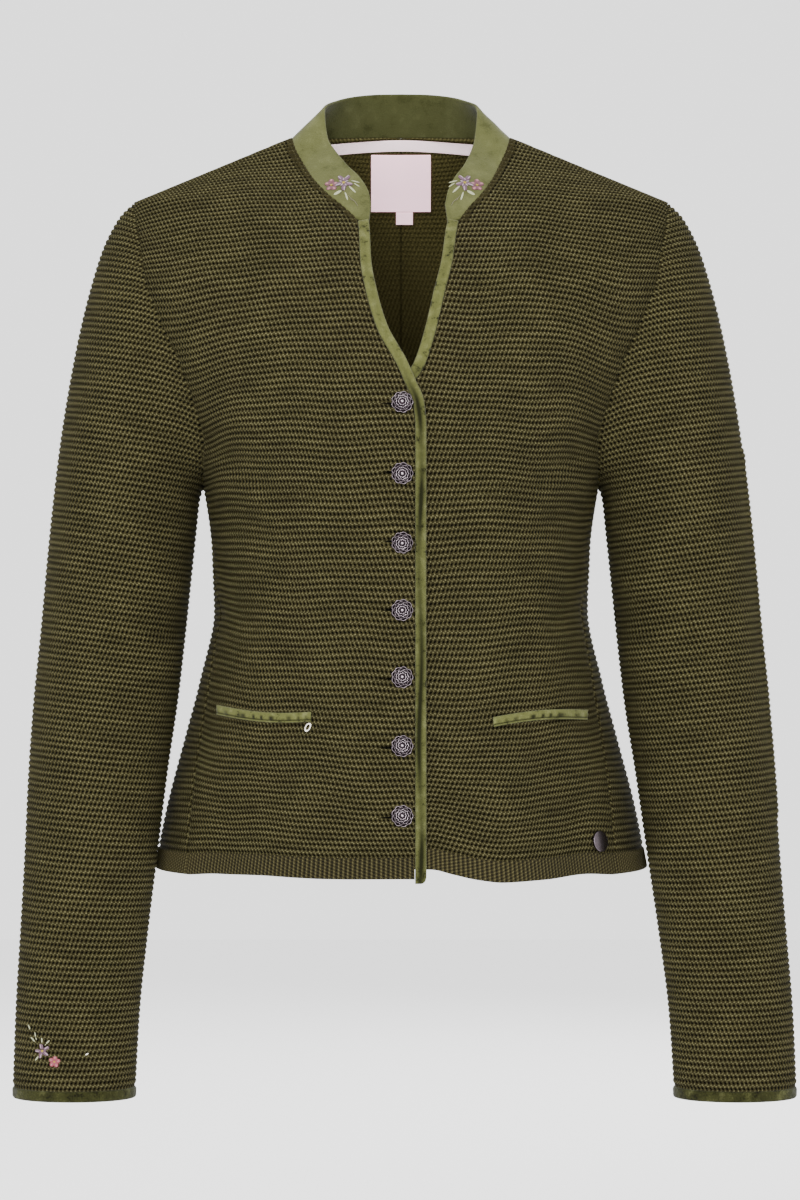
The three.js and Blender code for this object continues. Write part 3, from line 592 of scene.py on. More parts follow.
def new_object(name: str, mesh: Mesh) -> Thing:
    """Object with smooth faces, linked to the scene."""
    mesh.polygons.foreach_set("use_smooth", np.ones(len(mesh.polygons), bool))
    thing = bpy.data.objects.new(f"{name}_look", mesh)
    bpy.context.scene.collection.objects.link(thing)
    return thing


def mesh_of(bm: BMesh, name: str) -> Mesh:
    """Mesh of a bmesh, which is freed."""
    mesh = bpy.data.meshes.new(name)
    bm.to_mesh(mesh)
    bm.free()
    return mesh


def two_layers(rows: int, columns: int, inner_columns: int) -> BMesh:
    """Two flat grids with sides of 2 and as many rows, the inner one 1 below."""
    bm = bmesh.new()
    bmesh.ops.create_grid(bm, x_segments=columns, y_segments=rows, size=1)
    below = Matrix.Translation((0, 0, -1))
    bmesh.ops.create_grid(bm, x_segments=inner_columns, y_segments=rows, size=1, matrix=below)
    return bm


def place_points(
    bm: BMesh, name: str, points: Array, uv: Array, marks: dict[str, Array]
) -> Mesh:
    """Mesh of a flat bmesh with its vertices at points.

    Args:
        bm: the flat bmesh, freed here.
        name: name of the mesh.
        points: places of the vertices in millimetres.
        uv: millimetres along and across the cloth for each vertex.
        marks: names of attributes to a number for each vertex.

    Returns:
        The mesh, in metres, with a UV map called cloth.
    """
    mesh = mesh_of(bm, name)
    for mark, values in marks.items():
        attribute = mesh.attributes.new(mark, "FLOAT", "POINT")
        attribute.data.foreach_set("value", values.astype(np.float32).ravel())
    mesh.vertices.foreach_set("co", (points * MM).astype(np.float32).ravel())
    corner = np.empty(len(mesh.loops), np.int32)
    mesh.loops.foreach_get("vertex_index", corner)
    layer = mesh.uv_layers.new(name="cloth")
    layer.data.foreach_set("uv", uv[corner].astype(np.float32).ravel())
    return mesh


def tidy_mesh(mesh: Mesh, merge: Callable[[int], bool] | None) -> None:
    """Merges the vertices that merge() picks where they meet, and turns the faces outwards."""
    bm = bmesh.new()
    bm.from_mesh(mesh)
    if merge is not None:
        picked = [v for v in bm.verts if merge(v.index)]
        bmesh.ops.remove_doubles(bm, verts=picked, dist=2e-6)
    bmesh.ops.recalc_face_normals(bm, faces=bm.faces)
    bm.to_mesh(mesh)
    bm.free()


def bridge(bm: BMesh, test: Callable[[Vector], bool]) -> None:
    """Bridges the two open chains of edges that lie where test() says, one on each layer."""
    edges = [
        e
        for e in bm.edges
        if e.is_boundary and all(test(v.co) for v in e.verts) and abs(e.verts[0].co.z - e.verts[1].co.z) < 0.5
    ]
    bmesh.ops.bridge_loops(bm, edges=edges)


# Distance kept for a point that is far from any velvet, and the slack in finding the ends of a flat grid
FAR_MM = 50.0
NEAR = 1e-4


def wall_marks(outer: dict[str, Array], inner: dict[str, Array]) -> dict[str, Array]:
    """Attributes of a wall: the outer grid's own "seam_mm" and "slit", and "inside" on its inner grid."""
    outside, inside = (grid["points"].shape[0] * grid["points"].shape[1] for grid in (outer, inner))
    made = {"inside": np.concatenate([np.zeros(outside), np.ones(inside)])}
    for mark, default in (("seam_mm", FAR_MM), ("slit", 0.0)):
        values = outer.get(mark, np.full(outside, default))
        made[mark] = np.concatenate([values.ravel(), np.full(inside, default)])
    return made


@dataclass
class WallShell:
    """Closed wall between a fine outer grid and an inner grid with fewer columns.

    Args:
        name: name of the object.
        outer: "points" of the outer face, rows by columns by 3, their "uv" in millimetres, and its marks.
        inner: the same for the inner face, with as many rows and no marks.
        closed_rows: rows, from the first, whose two ends meet, as on a sleeve.
    """

    name: str
    outer: dict[str, Array]
    inner: dict[str, Array]
    closed_rows: int = 0

    def build(self) -> Thing:
        """The wall as an object.

        Returns:
            A closed mesh with smooth faces and a UV map in millimetres.
        """
        outer, inner = self.outer["points"], self.inner["points"]
        rows, columns, inner_columns = outer.shape[0] - 1, outer.shape[1] - 1, inner.shape[1] - 1
        bm = two_layers(rows, columns, inner_columns)
        open_from = -1 + 2 * max(self.closed_rows - 1, 0) / rows - NEAR
        bridge(bm, lambda c: c.y < NEAR - 1)
        bridge(bm, lambda c: c.y > 1 - NEAR)
        for end in (-1, 1):
            bridge(bm, lambda c, end=end: c.x * end > 1 - NEAR and c.y > open_from)
        points = np.concatenate([outer.reshape(-1, 3), inner.reshape(-1, 3)])
        uv = np.concatenate([grid["uv"].reshape(-1, 2) for grid in (self.outer, self.inner)])
        mesh = place_points(bm, self.name, points, uv, wall_marks(self.outer, self.inner))
        total = (rows + 1) * (columns + 1)

        def on_join(index: int) -> bool:
            """Whether a vertex lies at the end of a closed row."""
            width = columns + 1 if index < total else inner_columns + 1
            row, column = divmod(index if index < total else index - total, width)
            return row < self.closed_rows and column in (0, width - 1)

        tidy_mesh(mesh, on_join if self.closed_rows else None)
        return new_object(self.name, mesh)


@dataclass
class PillowStrip:
    """Closed strip of even thickness with rounded borders, made of two like grids that meet there.

    Args:
        name: name of the object.
        middle: points of the middle surface, rows by columns by 3.
        normal: outward normals there.
        border: distance of each point from the strip's border.
        thickness: full thickness.
        uv: millimetres along and across the strip.
        outer_relief: height added to the outer face.
        inner_relief: height added to the inner face, towards the inside.
        crease: how far each point is darkened, from 0 to 1: crushed pile, and painted shade in grooves and
            creases.
    """

    name: str
    middle: Array
    normal: Array
    border: Array
    thickness: float
    uv: Array
    outer_relief: Array | float = 0.0
    inner_relief: Array | float = 0.0
    crease: Array | float = 0.0

    def build(self) -> Thing:
        """The strip as an object.

        Returns:
            A closed mesh with smooth faces and a UV map in millimetres.
        """
        rows, columns = self.middle.shape[0] - 1, self.middle.shape[1] - 1
        half = self.thickness / 2
        rounding = np.sqrt(1 - (1 - np.clip(self.border / half, 0, 1)) ** 2)
        outer = self.middle + self.normal * (rounding * (half + self.outer_relief))[..., None]
        inner = self.middle - self.normal * (rounding * (half + self.inner_relief))[..., None]
        bm = two_layers(rows, columns, columns)
        points = np.concatenate([outer.reshape(-1, 3), inner.reshape(-1, 3)])
        uv = np.concatenate([self.uv.reshape(-1, 2)] * 2)
        crease = np.broadcast_to(self.crease, self.border.shape).ravel()
        total = (rows + 1) * (columns + 1)
        marks = {"inside": np.repeat([0.0, 1.0], total), "crease": np.concatenate([crease, crease])}
        mesh = place_points(bm, self.name, points, uv, marks)

        def on_border(index: int) -> bool:
            """Whether a vertex lies on the border of its grid."""
            row, column = divmod(index % total, columns + 1)
            return row in (0, rows) or column in (0, columns)

        tidy_mesh(mesh, on_border)
        return new_object(self.name, mesh)


def from_border(s: Array, t: Array, width: float, height: float) -> Array:
    """Distance from a strip's border at shares across and down it."""
    return np.minimum(np.minimum(t, 1 - t) * height, np.minimum(s, 1 - s) * width)


def grid_normals(points: Array) -> Array:
    """Outward normals of a grid of points, rows by columns by 3, with rows upwards from right to left."""
    return -unit(np.cross(np.gradient(points, axis=1), np.gradient(points, axis=0)))


# Colours and shader nodes


def linear(hex_colour: str) -> tuple[float, float, float, float]:
    """Linear colour of an sRGB hex string."""
    parts = [int(hex_colour[i : i + 2], 16) / 255 for i in (0, 2, 4)]
    flat = [c / 12.92 if c <= 0.04045 else ((c + 0.055) / 1.055) ** 2.4 for c in parts]
    return (flat[0], flat[1], flat[2], 1.0)


class Kind(Enum):
    """Shader nodes: Blender's name, its settings, the inputs in the order they are given, and the output."""

    SUM = ("Math", {"operation": "ADD"}, (0, 1), 0)
    LESS = ("Math", {"operation": "SUBTRACT"}, (0, 1), 0)
    TIMES = ("Math", {"operation": "MULTIPLY"}, (0, 1), 0)
    COSINE = ("Math", {"operation": "COSINE"}, (0,), 0)
    SINE = ("Math", {"operation": "SINE"}, (0,), 0)
    FLOOR = ("Math", {"operation": "FLOOR"}, (0,), 0)
    SIZE = ("Math", {"operation": "ABSOLUTE"}, (0,), 0)
    RAMP = ("MapRange", {"interpolation_type": "SMOOTHSTEP"}, (0, 1, 2, 3, 4), "Result")
    BLEND = ("Mix", {"data_type": "RGBA"}, (0, 6, 7), 2)
    SCALED = ("VectorMath", {"operation": "SCALE"}, (0, "Scale"), 0)
    STRETCHED = ("VectorMath", {"operation": "MULTIPLY"}, (0, 1), 0)
    NOISE = ("TexNoise", {}, ("Vector", "Scale", "Detail"), 0)
    BUMP = ("Bump", {}, ("Height", "Distance", "Strength"), 0)
    # Millimetres along and across the cloth, each of them alone, and metres in the object
    CLOTH = ("UVMap", {"uv_map": "cloth"}, (), 0)
    ALONG = ("SeparateXYZ", {}, (0,), 0)
    ACROSS = ("SeparateXYZ", {}, (0,), 1)
    PLACE = ("TexCoord", {}, (), "Object")
    # Numbers kept on the cloth: on its inner face, from its seam, in a buttonhole, where it gets painted
    # shade, and how far velvet is darkened by crushed pile and by painted shade in grooves and creases
    INSIDE = ("Attribute", {"attribute_name": "inside"}, (), "Fac")
    SEAM_MM = ("Attribute", {"attribute_name": "seam_mm"}, (), "Fac")
    SLIT = ("Attribute", {"attribute_name": "slit"}, (), "Fac")
    CREASE = ("Attribute", {"attribute_name": "crease"}, (), "Fac")


class Nodes:
    """A material with a Principled shader, and the way to add nodes to it."""

    def __init__(self, name: str) -> None:
        """Starts the material with only its output and its shader."""
        self.material = bpy.data.materials.new(name)
        self.material.use_nodes = True
        self.tree = self.material.node_tree
        self.tree.nodes.clear()
        output = self.tree.nodes.new("ShaderNodeOutputMaterial")
        self.shader = self.tree.nodes.new("ShaderNodeBsdfPrincipled")
        self.tree.links.new(self.shader.outputs[0], output.inputs["Surface"])

    def add(self, kind: Kind, *values: object) -> Socket:
        """Adds a node with its settings and links.

        Args:
            kind: the node.
            *values: a number, a colour or another node's output for each input.

        Returns:
            The node's output.
        """
        name, settings, keys, output = kind.value
        node = self.tree.nodes.new(f"ShaderNode{name}")
        for setting, value in settings.items():
            setattr(node, setting, value)
        self.feed(node, dict(zip(keys, values)))
        return node.outputs[output]

    def feed(self, node: bpy.types.Node, inputs: dict) -> None:
        """Sets or links inputs of a node; a colour loses its alpha where the input is a vector."""
        for key, value in inputs.items():
            socket = node.inputs[key]
            if isinstance(value, Socket):
                self.tree.links.new(value, socket)
            elif isinstance(value, tuple):
                socket.default_value = value[: len(socket.default_value)]
            else:
                socket.default_value = value

    def finish(self, **inputs: object) -> Material:
        """Feeds the shader, each name with _ for a space, and gives the material."""
        self.feed(self.shader, {name.replace("_", " "): value for name, value in inputs.items()})
        return self.material


TURN = 2 * math.pi


@dataclass(frozen=True)
class GarterFinish:
    """Wool yarn in garter stitch.

    The eye sees light loops, staggered from row to row, over round dark holes, on a matt and hairy cloth. The
    holes and the valleys between ridges get painted shade, and the ridge crests get painted light.
    Ridges 4.1 mm high and stitches 2.9 mm wide were counted in the photo. The hairs, far finer than a pixel,
    are drawn as flecks of 1 mm so that they show. Widths are millimetres.
    """

    name: str = "garter_knit"
    yarn: str = "201d0e"
    light: str = "565339"
    # Colour of the painted shade in the holes, in the seam groove and in the buttonhole slits
    dark: str = "010100"
    reverse: str = "3a361d"
    wobble: float = 0.5
    slant: float = 0.7
    stagger: float = math.pi
    fleck_size: float = 1.0
    fleck: float = 1.7
    strand: float = 0.42
    # Weights of the painted light on the ridge crests and of the painted shade in the holes
    crest: float = 0.25
    hole_shade: float = 0.7
    seam_band: float = 5.4
    seam_flat: float = 0.55
    back_seam: float = 0.3
    relief_metres: float = 0.0009

    def build(self) -> Material:
        """The material."""
        n = Nodes(self.name)
        add = n.add
        uv = add(Kind.CLOTH)
        along, row = add(Kind.ALONG, uv), add(Kind.ACROSS, uv)
        rows = add(Kind.TIMES, row, TURN / RIDGE_PITCH)
        crest = add(Kind.COSINE, rows)
        shift = add(Kind.TIMES, add(Kind.LESS, add(Kind.NOISE, uv, 0.16), 0.5), 2 * self.wobble)
        lean = add(Kind.TIMES, add(Kind.SINE, rows), self.slant)
        stitches = add(Kind.TIMES, add(Kind.SUM, along, shift), TURN / STITCH_PITCH)
        number = add(Kind.FLOOR, add(Kind.TIMES, row, 1 / RIDGE_PITCH))
        stagger = add(Kind.TIMES, number, self.stagger)
        strand = add(Kind.COSINE, add(Kind.SUM, add(Kind.SUM, stitches, lean), stagger))
        hairs = add(Kind.NOISE, uv, 1 / self.fleck_size, 4.0)
        fleck = add(Kind.TIMES, add(Kind.LESS, hairs, 0.5), self.fleck)
        # The loops are lighter, and the crest term paints light on the ridge tops and shade in their valleys
        weave = add(Kind.SUM, add(Kind.TIMES, strand, self.strand), add(Kind.TIMES, crest, self.crest))
        # Painted shade in the round holes of the valleys
        hole_shade = add(Kind.TIMES, add(Kind.RAMP, crest, -0.2, -0.8), add(Kind.RAMP, strand, 0.1, -0.65))
        weave = add(Kind.LESS, weave, add(Kind.TIMES, hole_shade, self.hole_shade))
        # The cloth is pressed flat along the velvet, with painted shade in a groove where that band ends
        seam = add(Kind.SEAM_MM)
        flat = add(Kind.TIMES, add(Kind.RAMP, seam, self.seam_band, self.seam_band - 1.2), self.seam_flat)
        weave = add(Kind.TIMES, weave, add(Kind.LESS, 1.0, flat))
        groove = add(Kind.SIZE, add(Kind.LESS, seam, self.seam_band))
        groove = add(Kind.RAMP, groove, 0.9, 0.2, 0.0, 0.55)
        stitch = add(Kind.LESS, add(Kind.SUM, weave, fleck), groove)
        colour = add(Kind.BLEND, add(Kind.RAMP, stitch, 0.0, 1.0), linear(self.yarn), linear(self.light))
        colour = add(Kind.BLEND, add(Kind.RAMP, stitch, -0.4, -1.05), colour, linear(self.dark))
        # Broad patches, and rows that came out lighter or darker, stretched along the cloth
        patch = add(Kind.RAMP, add(Kind.NOISE, uv, 0.035, 2.0), 0.25, 0.75, 0.9, 1.1)
        lengthwise = add(Kind.STRETCHED, uv, (0.06, 0.9, 1.0))
        uneven = add(Kind.RAMP, add(Kind.NOISE, lengthwise, 0.5, 1.0), 0.3, 0.7, 0.82, 1.18)
        colour = add(Kind.SCALED, colour, add(Kind.TIMES, patch, uneven))
        # The reverse is plainer, with a thin dark seam line down the centre back
        plain = add(Kind.SUM, add(Kind.TIMES, fleck, 0.6), add(Kind.TIMES, strand, 0.22))
        reverse = add(Kind.SCALED, linear(self.reverse), add(Kind.RAMP, plain, -0.6, 0.6, 0.5, 1.45))
        line = add(Kind.SIZE, add(Kind.LESS, add(Kind.SIZE, along), self.back_seam))
        reverse = add(Kind.SCALED, reverse, add(Kind.RAMP, line, 0.9, 0.3, 1.0, 0.6))
        colour = add(Kind.BLEND, add(Kind.INSIDE), colour, reverse)
        # Painted shade fills each buttonhole slit
        colour = add(Kind.BLEND, add(Kind.RAMP, add(Kind.SLIT), 0.25, 0.8), colour, linear(self.dark))
        relief = add(Kind.BUMP, add(Kind.TIMES, stitch, 0.5), self.relief_metres, 1.0)
        return n.finish(Base_Color=colour, Roughness=0.9, Specular_IOR_Level=0.04, Normal=relief)


@dataclass(frozen=True)
class RibFinish:
    """Wool yarn in a fine rib, which shows as upright columns with painted light on them and painted shade in
    the furrows; widths are millimetres.
    """

    name: str = "rib_knit"
    yarn: str = "231f0e"
    light: str = "413d25"
    dark: str = "080702"
    rib: float = 3.0
    course: float = 2.1
    slant_per_mm: float = 1.2
    fleck: float = 0.9
    relief_metres: float = 0.0005

    def build(self) -> Material:
        """The material."""
        n = Nodes(self.name)
        add = n.add
        uv = add(Kind.CLOTH)
        along, up = add(Kind.ALONG, uv), add(Kind.ACROSS, uv)
        ribs = add(Kind.COSINE, add(Kind.TIMES, along, TURN / self.rib))
        slant = add(Kind.TIMES, along, self.slant_per_mm)
        courses = add(Kind.COSINE, add(Kind.SUM, add(Kind.TIMES, up, TURN / self.course), slant))
        fleck = add(Kind.TIMES, add(Kind.LESS, add(Kind.NOISE, uv, 1.3, 3.0), 0.5), self.fleck)
        height = add(Kind.SUM, add(Kind.TIMES, ribs, 0.7), add(Kind.TIMES, courses, 0.4))
        height = add(Kind.SUM, height, fleck)
        # Painted light on the raised columns and painted shade in the furrows
        colour = add(Kind.BLEND, add(Kind.RAMP, height, 0.0, 1.2), linear(self.yarn), linear(self.light))
        colour = add(Kind.BLEND, add(Kind.RAMP, height, -0.1, -1.0), colour, linear(self.dark))
        relief = add(Kind.BUMP, height, self.relief_metres, 1.0)
        return n.finish(Base_Color=colour, Roughness=0.9, Specular_IOR_Level=0.12, Normal=relief)


@dataclass(frozen=True)
class VelvetFinish:
    """Cotton velvet with a short cut pile.

    The eye sees soft patches, light where the pile leans towards it and dark where it leans away. Patches are
    7 to 11 mm wide. The pile's hairs are too fine to show, so they are drawn as flecks of about 1 mm.
    """

    name: str
    mid: str
    light: str
    dark: str
    patch_per_metre: float = 90.0
    crush: float = 0.35
    # Painted shade: the share by which the inner face is darkened
    painted_reverse_shade: float = 0.0
    fleck_per_metre: float = 900.0
    hair_per_metre: float = 3800.0
    relief_metres: float = 0.0004

    def build(self) -> Material:
        """The material."""
        n = Nodes(self.name)
        add = n.add
        place = add(Kind.PLACE)
        broad = add(Kind.NOISE, place, self.patch_per_metre, 3.0)
        fleck = add(Kind.NOISE, place, self.fleck_per_metre, 3.0)
        hair = add(Kind.NOISE, place, self.hair_per_metre, 2.0)
        nap = add(Kind.SUM, broad, add(Kind.TIMES, add(Kind.LESS, fleck, 0.5), self.crush))
        colour = add(Kind.BLEND, add(Kind.RAMP, nap, 0.5, 0.78), linear(self.mid), linear(self.light))
        colour = add(Kind.BLEND, add(Kind.RAMP, nap, 0.46, 0.24), colour, linear(self.dark))
        colour = add(Kind.SCALED, colour, add(Kind.RAMP, hair, 0.3, 0.7, 0.9, 1.1))
        # Painted shade darkens the inner face
        reverse_shade_share = add(Kind.TIMES, add(Kind.INSIDE), self.painted_reverse_shade)
        colour = add(Kind.SCALED, colour, add(Kind.LESS, 1.0, reverse_shade_share))
        # Darker where the pile is crushed, and painted shade in grooves and creases
        colour = add(Kind.BLEND, add(Kind.CREASE), colour, linear(self.dark))
        height = add(Kind.SUM, fleck, add(Kind.TIMES, hair, 0.3))
        relief = add(Kind.BUMP, height, self.relief_metres, 1.0)
        return n.finish(
            Base_Color=colour,
            Roughness=0.95,
            Specular_IOR_Level=0.06,
            Sheen_Weight=0.08,
            Sheen_Roughness=0.45,
            Normal=relief,
        )


@dataclass(frozen=True)
class WovenFinish:
    """Woven ribbon: fine slanting threads with a soft shine.

    Its threads, about 0.2 mm, are drawn 0.5 or 0.7 mm apart so that they show. Its glow is painted light that
    makes it brighter.
    """

    name: str
    colour: str
    thread: float = 0.7
    slant: float = 1.0
    relief_metres: float = 0.00012
    painted_glow: float = 0.0

    def build(self) -> Material:
        """The material."""
        n = Nodes(self.name)
        add = n.add
        uv = add(Kind.CLOTH)
        lean = add(Kind.SUM, add(Kind.ALONG, uv), add(Kind.TIMES, add(Kind.ACROSS, uv), self.slant))
        thread = add(Kind.COSINE, add(Kind.TIMES, lean, TURN / self.thread))
        tone = add(Kind.RAMP, add(Kind.SUM, thread, add(Kind.NOISE, uv, 2.0)), -0.6, 1.4, 0.86, 1.03)
        return n.finish(
            Base_Color=add(Kind.SCALED, linear(self.colour), tone),
            Roughness=0.75,
            Specular_IOR_Level=0.25,
            # Painted light: the ribbon glows in its own colour
            Emission_Color=linear(self.colour),
            Emission_Strength=self.painted_glow,
            Normal=add(Kind.BUMP, thread, self.relief_metres, 1.0),
        )


@dataclass(frozen=True)
class MetalFinish:
    """Cast and silvered metal, blackened and rubbed: bright with dull specks, which are 0.7 mm wide."""

    name: str
    colour: str
    roughness: float
    speck_per_metre: float = 1400.0

    def build(self) -> Material:
        """The material."""
        n = Nodes(self.name)
        worn = n.add(Kind.NOISE, n.add(Kind.PLACE), self.speck_per_metre, 3.0)
        tone = n.add(Kind.RAMP, worn, 0.3, 0.7, 0.75, 1.1)
        colour = n.add(Kind.SCALED, linear(self.colour), tone)
        return n.finish(Base_Color=colour, Metallic=1.0, Roughness=self.roughness)


class Thread(Enum):
    """Colours of the embroidery."""

    ROSE = "522a34"
    BLUSH = "84585a"
    LILAC = "4b3242"
    PALE = "8b7b81"
    LEAF = "86886c"
    STEM = "54503c"
    YOLK = "7d6c14"
    CREAM = "e8e2d4"
    MADDER = "702a36"


@dataclass(frozen=True)
class ThreadFinish:
    """Twisted floss in satin stitch: strands of about 0.4 mm side by side, with a soft gloss."""

    name: str
    colour: str
    strand_per_metre: float = 2600.0
    relief_metres: float = 0.0002

    def build(self) -> Material:
        """The material."""
        n = Nodes(self.name)
        strand = n.add(Kind.NOISE, n.add(Kind.PLACE), self.strand_per_metre, 2.0)
        tone = n.add(Kind.RAMP, strand, 0.3, 0.7, 0.7, 1.15)
        relief = n.add(Kind.BUMP, strand, self.relief_metres, 1.0)
        colour = n.add(Kind.SCALED, linear(self.colour), tone)
        return n.finish(Base_Color=colour, Roughness=0.5, Specular_IOR_Level=0.35, Normal=relief)


class Slot(Enum):
    """Material slots of the record."""

    KNIT = "garter_knit"
    RIB = "rib_knit"
    VELVET = "velvet"
    TAPE = "woven_tape"
    LABEL = "woven_label"
    SILVER = "antique_silver"


class Finishes:
    """All materials, built once."""

    def __init__(self) -> None:
        """Builds the materials."""
        self.knit = GarterFinish().build()
        self.rib = RibFinish().build()
        self.collar = VelvetFinish("velvet_collar", "434527", "4d4f30", "35371b", painted_reverse_shade=0.46).build()
        self.binding = VelvetFinish("velvet_binding", "474927", "585a38", "121305", 140.0, 0.45).build()
        self.cuff = VelvetFinish("velvet_cuff", "24250f", "3c3d22", "0c0c03", 140.0, 0.7).build()
        self.threads = {
            thread: ThreadFinish(f"thread_{thread.name.lower()}", thread.value).build() for thread in Thread
        }
        self.tape = WovenFinish("woven_tape", "f2d8dc", painted_glow=0.65).build()
        self.label = WovenFinish("woven_label", "ffd0dc", 0.5, 0.0, painted_glow=1.1).build()
        self.silver = MetalFinish("antique_silver", "5c5458", 0.26).build()
        self.shadowed_silver = MetalFinish("shadowed_silver", "1c161a", 0.45).build()
        # Polished silver, lighter as a painted highlight, for the middle of each button
        self.polished_and_highlit_silver = MetalFinish("polished_and_highlit_silver", "958b90", 0.2).build()


def dress(thing: Thing, material: Material, slot: Slot, *nodes: str) -> Thing:
    """Gives a piece its material if it has none, parents it to the root and hides the solids that it stands
    for.

    Args:
        thing: the piece.
        material: its material.
        slot: not used.
        *nodes: CAD nodes that it replaces.

    Returns:
        The piece.
    """
    if not thing.data.materials:
        thing.data.materials.append(material)
    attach(thing, "root")
    if nodes:
        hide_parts(*nodes)
    area = sum(face.area for face in thing.data.polygons) / 2
    LOG.info("%s: %d faces, %.4f square metres a layer", thing.name, len(thing.data.polygons), area)
    return thing


# Knit panels


def row_list(top: float, start: float, pitch: float = RIDGE_PITCH / 4) -> Array:
    """Rows of points, four to a ridge, from a start up to a top."""
    rows = np.arange(start, top, pitch)
    return np.append(rows, top) if top - rows[-1] > 0.2 * pitch else rows


def ridge_height(row: Array, amplitude: float) -> Array:
    """Garter ridges: broad crests with narrow valleys."""
    wave = np.cos(2 * np.pi * row / RIDGE_PITCH)
    return amplitude * np.where(wave > 0, 0.45 + 0.55 * wave, 0.45 + 1.45 * wave)


@dataclass(frozen=True)
class KnitShape:
    """How the knit panels are meshed and how their ridges stand."""

    column_step: float = 5.0
    lip: float = 2.4
    ridge: float = 0.54
    inner_ridge: float = 0.18
    seam_depth: float = 0.9
    seam_reach: float = 1.4
    edge_share: float = 0.35
    underarm_share: float = 0.45
    inner_every: int = 4


class KnitPanels:
    """Both fronts and the back."""

    FRONT_WIDTH = 200.0
    BACK_WIDTH = 235.0
    LIP_FROM = 2.2
    LIP_WIDTH = 0.9
    LIP_RISE = 0.5
    SLIT_DEPTH = 2.0

    def __init__(self, form: BodyForm, lap: Lap, shape: KnitShape) -> None:
        """Keeps the form and the way to mesh it."""
        self.form = form
        self.lap = lap
        self.shape = shape

    def half_grid(self, panel: HalfPanel, shares: Array, rows: Array, wall: float) -> dict[str, Array]:
        """Grids of one half panel.

        Args:
            panel: the half panel.
            shares: shares from the edge to the outer border.
            rows: rows from the hem seam up.
            wall: how far in from the outer face the grid lies.

        Returns:
            The grids "points", "uv", "normal" and "seam_mm", the distance from the velvet.
        """
        share, row = np.meshgrid(shares, rows)
        turn, z = panel.place(share, row)
        lift = -wall + 0 * z
        if panel.half is Half.FRONT and panel.side is Side.RIGHT:
            lift = lift + self.lap(self.form, turn, z)
        smooth, normal = self.form.cloth(turn, z, lift)
        along = distance_along(smooth)
        start = panel.edge.at(rows)[1][:, None]
        width = along[:, -1:]
        ridge = self.shape.ridge if wall == 0 else -self.shape.inner_ridge
        seam = self.shape.edge_share if panel.half is Half.FRONT else 0.0
        drop = self.seam_drop(along) * seam + self.seam_drop(width - along)
        foot = self.seam_drop(row - rows[0])
        fade = 1 - np.clip(drop + foot, 0, 1)
        depth = self.shape.seam_depth if wall == 0 else 0.0
        out = ridge_height(row - HEM_SEAM, ridge) * fade - depth * (drop + foot)
        points = smooth + normal * out[..., None]
        if panel.half is Half.FRONT:
            points[..., 2] += hem_wave(panel.side, smooth[..., 0], z)
        uv = np.stack([along + start, row - HEM_SEAM], -1)
        by_neck = z > (NeckLine.END_Z if panel.half is Half.FRONT else ARMPIT)
        neck = panel.half is Half.FRONT or np.abs(start) > 1
        seam_mm = np.where(by_neck & neck, along, FAR_MM)
        return {"points": points, "uv": uv, "normal": normal, "seam_mm": seam_mm}

    def seam_drop(self, distance: Array) -> Array:
        """Share of the seam's depth at a distance from it."""
        return bell(distance, self.shape.seam_reach)

    def shares(self, width: float) -> Array:
        """Shares across a half panel."""
        return eased_shares(width, self.shape.column_step, self.shape.lip)

    def front(self, side: Side) -> Thing:
        """One front with its ridges."""
        panel = HalfPanel(self.form, side, Half.FRONT)
        rows = row_list(panel.top, HEM_SEAM)
        shares = self.shares(self.FRONT_WIDTH)
        outer = self.half_grid(panel, shares, rows, 0.0)
        inner_shares = shares[:: self.shape.inner_every]
        inner = self.half_grid(panel, np.append(inner_shares[:-1], 1.0), rows, KNIT_WALL)
        if side is Side.RIGHT:
            outer["slit"] = self.press_buttonholes(outer)
        return WallShell(f"front_{side.word}", outer, inner).build()

    def press_buttonholes(self, grid: dict[str, Array]) -> Array:
        """Sinks a slit by each button into the outer face, and gives its depth at each point, from 0 to 1,
        which the knit fills with painted shade.
        """
        points, normal = grid["points"], grid["normal"]
        x, z = points[..., 0].copy(), points[..., 2].copy()
        slit = np.zeros(x.shape)
        for k in range(BUTTONS.count):
            across = np.clip((x - BUTTONS.x + BUTTONS.slit) / BUTTONS.slit, 0, 1)
            inside = (x > BUTTONS.x - BUTTONS.slit) & (x < BUTTONS.x + 3)
            opening = 0.5 + 1.1 * across
            away = z - BUTTONS.height(k)
            near = bell(away, opening) * inside
            lips = bell(np.abs(away) - self.LIP_FROM, self.LIP_WIDTH) * inside
            points += normal * (self.LIP_RISE * lips - self.SLIT_DEPTH * near)[..., None]
            slit = np.maximum(slit, near)
        return slit

    def back(self) -> Thing:
        """The back, two like halves in one grid."""
        halves = {side: HalfPanel(self.form, side, Half.BACK) for side in Side}
        # Above the centre of the neck seam the two halves part, so each is its own grid joined at the centre
        rows = row_list(halves[Side.LEFT].top, HEM_SEAM)
        shares = self.shares(self.BACK_WIDTH)
        inner_shares = np.append(shares[:: self.shape.inner_every][:-1], 1.0)
        parts = []
        for side, panel in halves.items():
            outer = self.half_grid(panel, shares, rows, 0.0)
            inner = self.half_grid(panel, inner_shares, rows, KNIT_WALL)
            for grid in (outer, inner):
                grid["uv"][..., 0] *= side.value
            neck_row = panel.field.row_at(np.zeros(1), np.full(1, BACK_NECK))[0]
            closed = int(np.searchsorted(rows, neck_row))
            parts.append((outer, inner, closed))
        return JoinedBack("back", parts).build()


